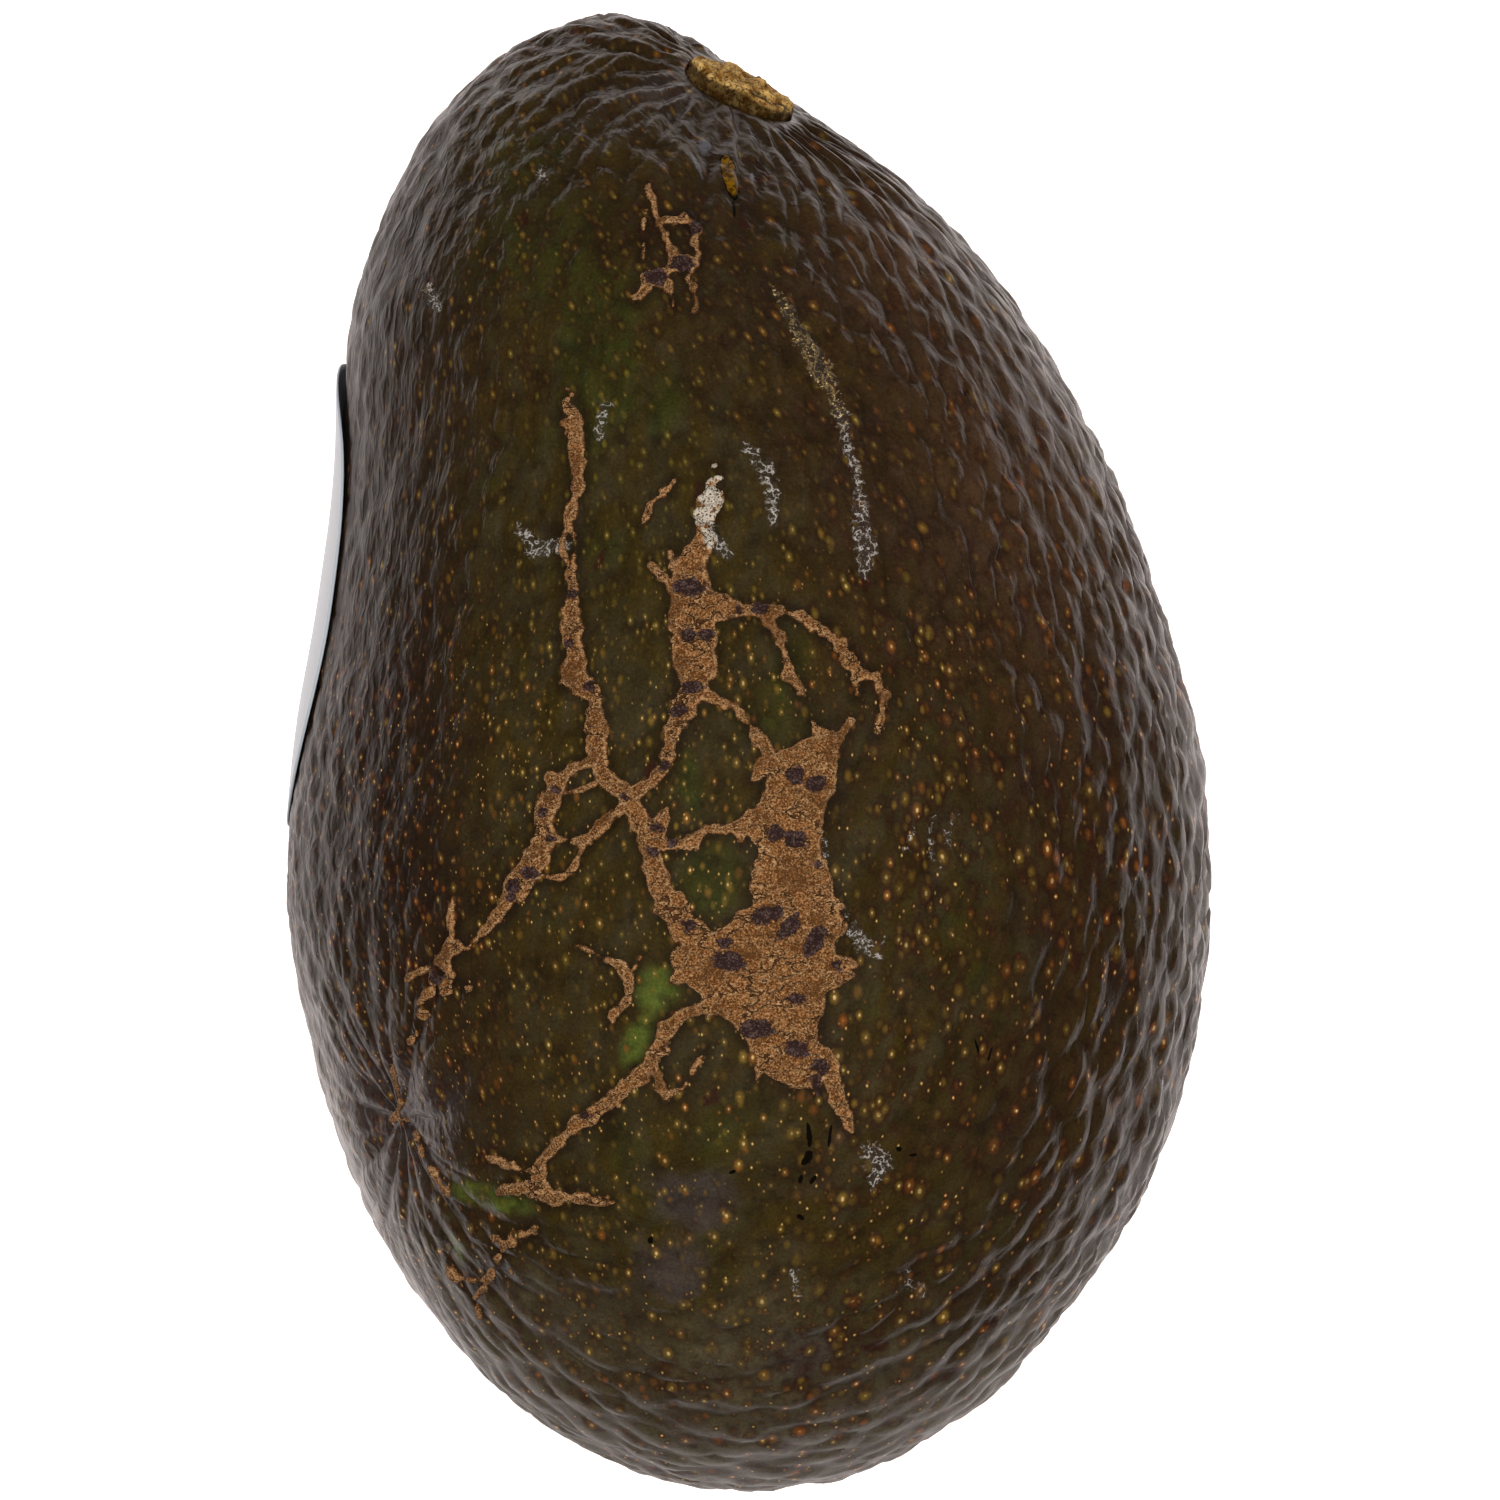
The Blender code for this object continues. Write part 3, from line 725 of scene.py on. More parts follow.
def stemFinish():
    finish = Finish("stem cork", {"Roughness": 0.95, "IOR": 1.4}, stemColours)
    grain = finish.noise(0.22, 3.0)
    coarse = finish.noise(0.8, 3.0)
    finish.painted = finish.blend(finish.step(coarse, 0.35, 0.65), "brown", "pale")
    # dark cracks, partly painted shade in the low spots of the grain's bump
    finish.paint(finish.step(grain, 0.48, 0.38) * 0.85, "crack")
    # painted shade in the stub's deepest crumbs and on its side wall
    finish.paint(finish.attribute("stubShade") * 0.85, "stubShade")
    finish.set("Base Color", finish.painted)
    finish.bump(0.14 * grain)
    return finish.material


def labelFinish():
    finish = Finish("label film", {"Base Color": (0.475, 0.52, 0.56, 1), "Roughness": 0.42})
    finish.bump(0.03 * finish.noise(6.0, 1.0))
    return finish.material


# The fruit


# The meridians' turns, evenly spaced round the middle ring but closer together on the upper side.
def meridianTurns(count):
    turn = np.linspace(0, 2 * np.pi, 721)
    ring = meridianDirection(turn, np.full_like(turn, np.pi / 2))
    step = np.linalg.norm(np.diff(bodyPoint(ring), axis=0), axis=1)
    step = step * (1 + fruitShape["frontDensity"] * smoothStep(-0.3, 0.6, ring[1:, 2]))
    walked = np.concatenate([[0], np.cumsum(step)])
    return np.interp(np.arange(count) / count * walked[-1], walked, turn)


# Tilts of the rings on each meridian. Near the poles the rings are at fixed distances, so that the
# socket's wall is round, and in between they are evenly spaced.
def ringTilts(turns):
    fine = np.linspace(0.001, np.pi - 0.001, 900)
    points = bodyPoint(meridianDirection(turns[None, :], fine[:, None]))
    steps = np.linalg.norm(np.diff(points, axis=0), axis=2)
    walked = np.concatenate([np.zeros((1, len(turns))), np.cumsum(steps, axis=0)])
    nearStem = np.array(fruitShape["ringsNearStem"])
    nearScar = np.array(fruitShape["ringsNearScar"])
    between = np.linspace(0, 1, fruitShape["middleRings"] + 2)[1:-1]
    tilts = np.empty((len(nearStem) + len(between) + len(nearScar), len(turns)))
    for k in range(len(turns)):
        whole = walked[-1, k]
        middle = nearStem[-1] + between * (whole - nearScar[0] - nearStem[-1])
        arcs = np.concatenate([nearStem, middle, whole - nearScar])
        tilts[:, k] = np.interp(arcs, walked[:, k], fine)
    return tilts


# The axis that the stem stands on: the normal of the ring of body points round it.
def stemAxis():
    turns = np.linspace(0, 2 * np.pi, 24, endpoint=False)
    ring = bodyPoint(meridianDirection(turns, np.full_like(turns, 0.12)))
    centre = ring.mean(axis=0)
    axis = unit(np.cross(ring - centre, np.roll(ring, -1, axis=0) - centre).sum(axis=0))
    return axis * np.sign(axis @ stemPoint)


labelShape = {
    "length": 33.4,
    "width": 24.0,
    "middleY": 11.2,
    "middleAngle": np.radians(186),
    "squareness": 0.85,
    "thickness": 0.14,
    "standOff": 0.16,
    "lift": 0.45,       # how far the end towards the stem has peeled off
}


# 1 under the label, 0 away from it.
def labelCover(point):
    share = 2 * point[..., 1] / fruitShape["length"]
    sideways = leanAt(np.clip(share, -1, 1)) - point[..., 0]
    down = -(point[..., 2] + fruitShape["neckDroop"] * share) / fruitShape["depthShare"]
    girth = halfWidthAt(np.clip(share, -1, 1))
    around = (np.arctan2(down, sideways) + np.pi - labelShape["middleAngle"]) * girth
    along = (point[..., 1] - labelShape["middleY"]) * labelShape["width"] / labelShape["length"]
    return 1 - smoothStep(0, 2.0, np.hypot(around, along) - labelShape["width"] / 2 - 0.5)


# 1 in the middle of an ellipse, fading out round its edge.
def softEllipses(seenX, seenY, ellipses):
    mask = np.zeros(seenX.shape)
    for ellipse in ellipses:
        across, upwards = inEllipse(seenX, seenY, ellipse)
        mask = np.maximum(mask, np.exp(-(across**2 + upwards**2)))
    return mask


# Signed distance to strands, in millimetres: positive inside. Each strand is a chain of points
# (x, y, half width), joined by straight tapered pieces that melt into each other.
def strandDistance(seenX, seenY, strands, melt=0.2):
    best = np.full(seenX.shape, -9.0)
    for strand in strands:
        for start, end in zip(np.array(strand[:-1]), np.array(strand[1:])):
            run = end[:2] - start[:2]
            t = np.clip(((seenX - start[0]) * run[0] + (seenY - start[1]) * run[1]) / (run @ run), 0, 1)
            away = np.hypot(seenX - start[0] - t * run[0], seenY - start[1] - t * run[1])
            piece = start[2] + t * (end[2] - start[2]) - away
            join = np.maximum(melt - np.abs(best - piece), 0)
            best = np.maximum(best, piece) + join**2 / (4 * melt)
    return best


# patches of the skin, as ellipses of (x, y, half width, half height, turn if any)
skinPatches = {
    # green where less of the skin has darkened
    "green": (
        (-7.9, -20.8, 1.1, 2.4, -20), (-6.6, -17, 1.9, 1.9), (-18.6, -32.2, 3.2, 1, -12),
        (-21.1, -35.9, 0.6, 1.6, 20),
    ),
    # and where it is only a little greener
    "leaf": (
        (-4.1, -2.5, 1, 3.4, 5), (-6.2, 24.5, 1.2, 4.5, -8), (-10.5, 29, 3.5, 9),
        (-2.6, -9.5, 2.6, 3), (-18, 39, 8, 8), (3, 6, 3, 4),
    ),
    # everywhere that the skin hasn't turned brown
    "unripe": ((-9, 6, 16, 46, 6), (-2, -34, 24, 14), (12, -13, 9, 22)),
    # where it has turned reddish
    "ruddy": ((20, 19, 8, 16, 20), (11, 35, 6, 6, 30), (-24, 25, 4, 5)),
    # and where it is greyer and more purple
    "plum": ((-25.5, -26.5, 6, 7, 20), (-3.5, -32, 3.5, 2.5), (-5.5, -37.5, 3, 2.5),
             (-6, 47.5, 4, 1.6), (3, -43, 3, 2)),
}
# dry scuffs, as strands of (x, y, half width)
skinScuffs = {
    "gold": (
        ((1.9, 33.2, 0.15), (2.9, 31.5, 0.4), (4.3, 29, 0.75), (5.2, 27.3, 0.85), (6.1, 25.6, 0.5),
         (6.7, 23.6, 0.4)),
    ),
    "flake": (
        ((6.6, 24, 0.45), (7.1, 22, 0.3), (7.8, 19.5, 0.2), (8, 16.5, 0.6), (8.5, 14.5, 0.7),
         (8.4, 12.6, 0.3)),
        ((-0.3, 22, 0.3), (0.4, 21.5, 0.4), (0.9, 20, 0.25)),
        ((-2.9, 16.5, 0.3), (-2.2, 14.7, 0.45), (-1.4, 13.9, 0.3)),
        ((1.4, 20.5, 0.4), (1.7, 18.7, 0.5), (1.9, 16.6, 0.3)),
        ((-16.4, 16.2, 0.3), (-15.3, 14.4, 0.5), (-13.2, 14.8, 0.4)),
        ((-9.9, 24.8, 0.3), (-10.6, 23.8, 0.4), (-10.6, 22.7, 0.3)),
        ((8.6, -28.6, 0.5), (9.4, -29.6, 1), (9, -31, 0.5)),
        ((5.3, -5.7, 0.15), (5.6, -7.9, 0.15)),
        ((6.5, -10.7, 0.15), (7.3, -12.9, 0.15), (8, -14.3, 0.12)),
        ((-14.9, 41.7, 0.3), (-14.6, 41, 0.3)),
        ((-22.9, 33.1, 0.4), (-22.3, 32, 0.4)),
        ((7.6, -13, 0.5), (9, -14.6, 0.3)),
        ((11.9, -5.8, 0.1), (11.3, -7.2, 0.1)),
        ((13.6, -4.6, 0.1), (13, -5.6, 0.1), (13.3, -7.3, 0.1), (13.8, -8.4, 0.1)),
        ((15.1, -4.5, 0.1), (14.3, -5.7, 0.1), (14.6, -7.1, 0.1)),
        ((9.8, -13.4, 0.1), (9.3, -15.1, 0.1)),
        ((3.2, -37.2, 0.2), (3.6, -39.2, 0.2)),
        ((11.2, -37.5, 0.3), (12.4, -39, 0.3)),
    ),
}


def buildFruit():
    turns = meridianTurns(fruitShape["meridians"])
    direction = meridianDirection(turns[None, :], ringTilts(turns))
    skin = reliefAt(direction)
    point = skin["point"]
    normal = bodyNormal(direction)
    lowest = -fruitShape["liftOffTable"] - fruitShape["flatDepth"]
    onFlat = 1 - smoothStep(fruitShape["flatDepth"], 3 * fruitShape["flatDepth"], point[..., 2] - lowest)
    rise = skin["rise"] * (1 - onFlat)
    rise = np.minimum(rise, 0.3 * (1 - labelCover(point)))
    radius = skinRelief["socketRadius"]
    sunk = 1 - smoothStep(radius - 0.4, radius, skin["fromStem"])
    axis = stemAxis()
    rings = point + normal * (rise * (1 - sunk))[..., None]
    rings = rings - axis * (skinRelief["socketDepth"] * sunk)[..., None]
    rings[..., 2] = np.maximum(rings[..., 2], -fruitShape["liftOffTable"])
    scar = scarPoint + rings[-1].mean(axis=0) - point[-1].mean(axis=0)
    points, faces = closedGrid(rings, stemPoint - axis * skinRelief["socketDepth"], scar)

    seenX, seenY = skin["seenX"], skin["seenY"]
    upper = smoothStep(-2, 4, point[..., 2])
    attributes = {
        "calm": skin["calm"],
        "dome": skin["dome"],
        "flow": flowPlace(skin["turn"], skin["tilt"]),
        "seen": np.stack([seenX, seenY, upper], axis=-1),
        # distance to the cork net, which the finish uses for a painted shadow beside it
        "net": np.clip(netDistance(seenX, seenY), -2, 1) * upper - 2 * (1 - upper),
    }
    for name, ellipses in skinPatches.items():
        attributes[name] = softEllipses(seenX, seenY, ellipses) * upper
    for name, strands in skinScuffs.items():
        attributes[name] = smoothStep(-0.6, 0.4, strandDistance(seenX, seenY, strands)) * upper
    flat = {}
    for key, values in attributes.items():
        listed = values.reshape(-1, 3) if values.ndim == 3 else values.ravel()
        flat[key] = np.concatenate([listed, listed[:1], listed[-1:]])
    return addPiece("avocado_skin", points, faces, flat)


# The corky net


corkNet = {
    "step": 0.13,          # grid spacing
    "rise": 0.27,          # height over the skin
    "bury": 0.08,          # how far its edge dips under the skin
    "thickness": 0.25,
    "swell": 0.06,         # how much wider it is than the lists below say
    # layers of noise: size, height, seed
    "ragged": ((0.9, 0.19, 41), (0.4, 0.17, 42)),
    "crumbs": ((0.5, 1, 45),),
    "grains": ((0.55, 0.08, 43), (0.3, 0.05, 44)),
    "box": (-27.5, 10.6, -41.6, 41.2),
    # the big patch, row by row: y, left edge, right edge
    "patch": (
        (1.2, 5.2, 6.2), (0.6, 3.9, 6.8), (0, 2.2, 6.6), (-0.6, 1.5, 6.5), (-1.8, 1.5, 6.3),
        (-3.1, 0.9, 6.2), (-4.6, 0.2, 5.7), (-6, -0.4, 5.2), (-6.9, 0.9, 5.2), (-8.5, 0.6, 5.7),
        (-10, 0.2, 6.3), (-11.2, 0, 6.5), (-12.7, -1.9, 7.1), (-13.9, -4.8, 6.5), (-15.2, -4.6, 6.5),
        (-16.2, -5.4, 7.7), (-17.4, -3.4, 5.6), (-18.5, -2.7, 5.4), (-19.7, -1, 5.2),
        (-20.8, -0.4, 5.2), (-22, 0.6, 5.7), (-22.9, 0.8, 6.2), (-23.5, 1.7, 5.9), (-24, 3, 5),
    ),
    # strands of (x, y, half width)
    "strands": (
        # down the left
        ((-12.7, 25.5, 0.36), (-12.6, 23.8, 0.75), (-12.4, 22.2, 0.65), (-12.1, 20.7, 0.57),
         (-12.2, 18.9, 0.43), (-12.6, 17.6, 0.29), (-13, 16.2, 0.32), (-13.4, 15.1, 0.22),
         (-13.1, 13.8, 0.25), (-12.6, 12, 0.32), (-12.7, 10.1, 0.68), (-12.7, 8.7, 0.72),
         (-12.5, 6.4, 0.68), (-12.6, 5.3, 0.97), (-10.9, 3.6, 0.54), (-11, 1.6, 0.83),
         (-10.8, -0.3, 0.72), (-10.4, -1.7, 0.57), (-9.3, -2.8, 0.68), (-8.5, -3.4, 0.57)),
        ((-12.9, 16.2, 0.25), (-12.5, 15.1, 0.25), (-12.6, 13.3, 0.32)),
        ((-12.5, 5.3, 0.5), (-13.5, 5.1, 0.29)),
        # the column in the middle
        ((-2, 20.1, 0.32), (-2.5, 18.4, 0.72), (-3.2, 17, 0.65), (-3.1, 15.1, 0.72),
         (-3.9, 14.1, 0.93), (-4.2, 12.8, 1.29), (-4.2, 11.6, 1.44), (-4.1, 10.1, 1.62),
         (-3.9, 8.2, 1.55), (-3.7, 6.2, 1.58), (-3.9, 4.5, 1.08), (-4.6, 3, 0.97), (-5.4, 1.4, 0.72),
         (-5.8, -0.3, 0.54), (-6.2, -1.3, 0.57), (-7, -2.3, 0.47), (-7.7, -2.8, 0.5),
         (-8.5, -3.4, 0.57)),
        ((-3.4, 10.5, 1.29), (-1.9, 10.2, 1.01), (-0.7, 10.1, 0.57)),
        ((-7.1, 13.5, 0.14), (-6, 12.4, 0.29), (-5.2, 11.7, 0.43)),
        ((-5.6, 14.3, 0.14), (-5.4, 13.3, 0.25), (-4.9, 12.4, 0.43)),
        ((-5.4, 19.3, 0.22), (-6.2, 18.4, 0.18), (-6.8, 17.9, 0.18), (-7.7, 16.1, 0.1)),
        # arms to the right
        ((-0.6, 10.1, 0.57), (0.9, 10.1, 0.57), (2.3, 10.1, 0.32), (3.8, 9.6, 0.4), (5.4, 8.7, 0.47),
         (6.5, 7.6, 0.5), (7.5, 6.2, 0.54), (8.3, 5.4, 0.36), (9.2, 5.3, 0.29), (9.8, 3.9, 0.4),
         (9.6, 2.4, 0.25), (9.2, 1, 0.12)),
        ((7.6, 5.9, 0.32), (7.9, 4.1, 0.25), (8.2, 3.6, 0.12)),
        ((1.1, 9.8, 0.29), (1.4, 9.5, 0.29), (2.1, 8.4, 0.29), (2.7, 6.8, 0.32), (2.9, 5.4, 0.47),
         (3.7, 4.5, 0.29), (4.2, 3.7, 0.14)),
        ((-3.7, 4.3, 0.57), (-2.9, 3.9, 0.4), (-1.7, 3.4, 0.32), (-0.8, 3.1, 0.33), (0, 2, 0.36),
         (0.8, 0.8, 0.4), (1.5, -0.3, 0.42), (2.3, -1.3, 0.46)),
        # from the crossing to the patch
        ((-8.5, -3.4, 0.65), (-7.7, -5.4, 0.79), (-7, -6.4, 0.93), (-6.8, -8.3, 0.75),
         (-6.3, -9.8, 0.72), (-5.6, -11, 1.08), (-4.8, -12.2, 1.08), (-4, -13.1, 1.22)),
        ((-6.7, -6.2, 0.95), (-6.2, -5.1, 0.5), (-5.8, -4.3, 0.2)),
        ((-6.7, -6.8, 0.65), (-5.4, -6.7, 0.5), (-4.2, -6.6, 0.54), (-2.9, -5.8, 0.29),
         (-1.4, -5.6, 0.32), (-0.2, -5.6, 0.68), (0.7, -5.1, 0.65)),
        # loops left of the crossing
        ((-10.8, -0.5, 0.57), (-11.9, -1, 0.36), (-12.7, -1.4, 0.4), (-13.7, -2.3, 0.79),
         (-14.1, -3.5, 0.72), (-14.7, -4.6, 0.65), (-14.5, -5.9, 0.68)),
        ((-13.5, -3.1, 0.32), (-12.7, -3.1, 0.22), (-11, -2.4, 0.18)),
        ((-8.6, -3.6, 0.57), (-10, -4.9, 0.4), (-11, -5.8, 0.43), (-11.6, -6.4, 0.4),
         (-12.9, -6.4, 0.25), (-14.1, -6.4, 0.32)),
        ((-11.6, -6.3, 0.32), (-11.8, -6.9, 0.29), (-12.4, -8.3, 0.25), (-13.3, -9.1, 0.25),
         (-14.4, -9.1, 0.25), (-15.6, -8.9, 0.32)),
        # down to the scar
        ((-14.4, -6, 0.72), (-15, -7.3, 0.86), (-15.8, -8.5, 0.86), (-16.7, -9.7, 0.97),
         (-17.5, -11.2, 0.5), (-18.1, -12.1, 0.47), (-19, -13.1, 0.22), (-20.1, -14.2, 0.25),
         (-21.3, -14.2, 0.72), (-22.1, -15.1, 0.57), (-21.7, -16.7, 0.29), (-23.1, -17.6, 0.36),
         (-23.8, -18.3, 0.29), (-23.3, -19.2, 0.22), (-23.8, -20.4, 0.18), (-25.4, -22, 0.14),
         (-26.1, -22.1, 0.22), (-26.2, -24, 0.14), (-25.9, -25.6, 0.22), (-26.5, -26.8, 0.29),
         (-25.6, -27, 0.18)),
        ((-21.3, -13.9, 0.32), (-21.3, -12.8, 0.22), (-21.1, -10.5, 0.1)),
        ((-22.4, -15.4, 0.22), (-23.5, -15.8, 0.14), (-24.6, -16.4, 0.11)),
        ((-21.1, -16.5, 0.25), (-20.6, -16.9, 0.29), (-20, -17.1, 0.18)),
        ((-22.8, -15.9, 0.32), (-22.4, -17.2, 0.32), (-21.7, -16.7, 0.29)),
        ((-24.9, -27.9, 0.11), (-23.3, -30.2, 0.14), (-21.9, -31.8, 0.22), (-20.3, -33.4, 0.14)),
        # spikes of the patch
        ((4.6, 2.1, 0.18), (5.3, 0.8, 0.43), (4.6, -0.5, 1.58)),
        ((7.3, 2.1, 0.18), (6.5, 0.7, 0.43), (5.6, -0.5, 0.8)),
        ((-3.4, -14.2, 1), (-4.8, -14.9, 0.79)),
        ((-3.2, -15.6, 0.8), (-5, -16.3, 0.57)),
        ((6.3, -15.1, 0.57), (7.2, -15.2, 0.36), (7.9, -15.5, 0.14)),
        ((5.7, -10.4, 0.5), (6.5, -11.2, 0.36)),
        ((1.1, -22.4, 0.5), (0.6, -23.7, 0.18)),
        ((4.6, -23.4, 0.79), (5, -24.5, 0.29), (5.1, -25, 0.14)),
        ((5.6, -22.1, 0.72), (6, -23.3, 0.72), (6.3, -24.8, 0.5), (6.9, -26.2, 0.4),
         (7.5, -27.5, 0.18)),
        ((1.1, -1.1, 0.65), (0.4, -2, 0.29)),
        ((0.6, -4.6, 0.57), (-0.3, -5.6, 0.57), (-0.4, -6.4, 0.29)),
        # down and left from the patch
        ((-1.3, -18.1, 0.8), (-2.7, -18.5, 0.5), (-3.9, -18.7, 0.43), (-5, -19.3, 0.47),
         (-6, -20.2, 0.61), (-6.4, -21.4, 0.57), (-6.8, -22.3, 0.57), (-7.7, -23.3, 0.68),
         (-8.8, -24.1, 0.4), (-10, -25.3, 0.68), (-11.2, -26.2, 0.57), (-12.5, -27, 0.47),
         (-13.5, -28.1, 0.43), (-14.7, -29.3, 0.29), (-15.1, -30.4, 0.5), (-15.1, -31.4, 0.65),
         (-16.5, -31.4, 0.5), (-17.8, -31.7, 0.29)),
        ((-15.1, -31.4, 0.65), (-14.2, -32, 0.68), (-12.3, -32.2, 0.4), (-10.1, -32.5, 0.36),
         (-9.7, -32.5, 0.18)),
        ((-15.2, -30.3, 0.29), (-16.5, -30, 0.25), (-17.8, -29.5, 0.18), (-19.2, -29.1, 0.11)),
        ((-6.6, -22.7, 0.43), (-6.3, -24, 0.29), (-5.9, -24.9, 0.29), (-4.7, -24.3, 0.22),
         (-3.6, -22.4, 0.22), (-3, -21.5, 0.11)),
        ((-12.3, -14, 0.14), (-10.5, -14.8, 0.22), (-8.8, -15.8, 0.32), (-8.4, -16.4, 0.43),
         (-8.6, -17.9, 0.29), (-9.6, -18.9, 0.25), (-9.8, -19.7, 0.11)),
        ((-8.4, -16.1, 0.22), (-7.7, -14.8, 0.14)),
        # pieces below
        ((-18, -35.2, 0.36), (-16.9, -35.3, 0.47), (-15.5, -34.5, 0.29)),
        ((-17.5, -35.5, 0.29), (-18, -36.4, 0.29), (-18.7, -38.2, 0.4), (-20.1, -38.1, 0.29),
         (-21, -37.9, 0.29), (-21.7, -37, 0.14)),
        ((-19, -38.3, 0.25), (-19.6, -39.3, 0.25), (-19.2, -40.7, 0.14)),
        ((-18, -36.6, 0.18), (-16.9, -37.5, 0.11), (-16.2, -38.3, 0.14)),
        # the small net near the stem
        ((-7.2, 40.3, 0.06), (-6.7, 39.1, 0.16), (-6.5, 38.2, 0.14)),
        ((-7.4, 38.6, 0.18), (-7.5, 37, 0.21), (-7.5, 35.4, 0.22), (-7.2, 34.6, 0.22)),
        ((-6.5, 38, 0.2), (-5.2, 38.2, 0.14), (-4.6, 38.2, 0.3), (-3.9, 38, 0.2)),
        ((-3.8, 37.8, 0.5), (-3.7, 37.4, 0.5)),
        ((-3.9, 36.9, 0.22), (-3.9, 36.4, 0.32), (-3.5, 35.7, 0.26), (-3.8, 35, 0.18)),
        ((-6.4, 37.8, 0.28), (-5.9, 36.9, 0.24), (-5.5, 36, 0.28), (-5.3, 35.3, 0.26)),
        ((-5.1, 34.8, 0.68), (-4.4, 34.9, 0.66)),
        ((-7, 33.9, 0.6), (-6.3, 34, 0.6)),
        ((-6, 34.3, 0.34), (-5.6, 34.5, 0.34)),
        ((-8.1, 32.6, 0.22), (-7.6, 32.9, 0.36), (-7, 33.3, 0.3)),
        ((-5.8, 34, 0.22), (-5.6, 33, 0.16), (-5.4, 32, 0.12)),
        ((-4.4, 34.2, 0.26), (-4, 33.2, 0.28), (-3.7, 32, 0.2), (-3.9, 31.4, 0.12)),
    ),
    # dark skin that the cork has left in its middle: x, y, half width, half height, turn if any
    "islands": (
        (-4.2, 11.7, 1.15, 0.65), (-12.6, 11.2, 0.57, 0.36), (-12.8, 7.8, 0.43, 0.43),
        (-11.4, 4.7, 0.57, 0.36), (-4.3, 8.2, 0.57, 0.5), (-3, 8.2, 0.57, 0.43), (-4, 4.5, 0.93, 0.5),
        (-4.9, 2.8, 0.65, 0.5), (0.9, 10.2, 0.65, 0.5), (-0.7, 10, 0.29, 0.43),
        (-6, -1.1, 0.43, 0.43), (3.4, -1.8, 0.72, 0.65), (4.9, -2.4, 0.79, 0.65),
        (2, -6, 0.65, 0.65), (3.4, -6.4, 0.86, 0.72), (1.4, -11.8, 1.08, 0.65, 20),
        (2.9, -12.7, 1.15, 0.57, 45), (4.8, -13.7, 1.29, 0.65, 60), (-1.7, -13.8, 0.57, 0.43),
        (-1.4, -15.1, 1.22, 0.72), (6.3, -15.4, 0.5, 0.36), (3.4, -17.8, 0.72, 0.36),
        (0.6, -20, 1.22, 0.72), (3.5, -21.4, 0.86, 0.65), (5.2, -22.7, 0.65, 0.57),
        (4.9, -24, 0.36, 0.86), (-8.8, -3.4, 0.36, 0.29), (-6.5, -5.6, 0.43, 0.36),
        (-6.8, -7.3, 0.5, 0.36), (-5.4, -6.6, 0.36, 0.36), (-14.7, -4.4, 0.36, 0.36),
        (-13.7, -2.8, 0.36, 0.29), (-14.2, -6.4, 0.36, 0.29), (-15.6, -8.8, 0.65, 0.43),
        (-16.9, -9.7, 0.57, 0.57), (-17, -10.6, 0.36, 0.36), (-4.2, -12.5, 0.57, 0.5),
        (5.1, -8.2, 0.29, 0.22), (-11.8, -26.1, 0.57, 0.43), (-22.4, -16.2, 0.57, 0.65),
        (-6.6, 38, 0.3, 0.26), (-4.75, 34.85, 0.95, 0.62), (-6.65, 33.95, 0.9, 0.55),
        (-3.75, 37.6, 0.48, 0.58),
    ),
    # where strands break up into crumbs, the same way
    "crumbling": ((-12.7, 25.2, 1.2, 1.3), (-2.2, 19.3, 1.2, 1.9), (-21.8, -17.6, 1.2, 2.2),
                  (-24.2, -21.5, 1.2, 2.6), (-18.2, -36.2, 1.6, 2.2)),
    # waxy white top of the middle column, the same way
    "wax": ((-2, 20.1, 0.9, 1.2), (-2.6, 18.2, 1.1, 1.1), (-3.1, 16.8, 0.9, 1), (-2.7, 15.3, 0.6, 0.9)),
}


# Distance inside the patch, from its rows' edges. It is shortened a little, because the edges slant.
def patchDistance(seenX, seenY):
    rows = np.array(corkNet["patch"])[::-1]
    left = np.interp(seenY, rows[:, 0], rows[:, 1])
    right = np.interp(seenY, rows[:, 0], rows[:, 2])
    sideways = 0.8 * np.minimum(seenX - left, right - seenX)
    ends = np.minimum(seenY - rows[0, 0], rows[-1, 0] - seenY) + 0.3
    return np.minimum(sideways, ends)


def netDistance(seenX, seenY):
    return np.maximum(strandDistance(seenX, seenY, corkNet["strands"]), patchDistance(seenX, seenY))


# How far inside the nearest island: positive inside, in millimetres.
def islandDistance(seenX, seenY, ellipses):
    best = np.full(seenX.shape, -9.0)
    for ellipse in ellipses:
        share = np.hypot(*inEllipse(seenX, seenY, ellipse))
        best = np.maximum(best, (1 - share) * min(ellipse[2:4]))
    return best


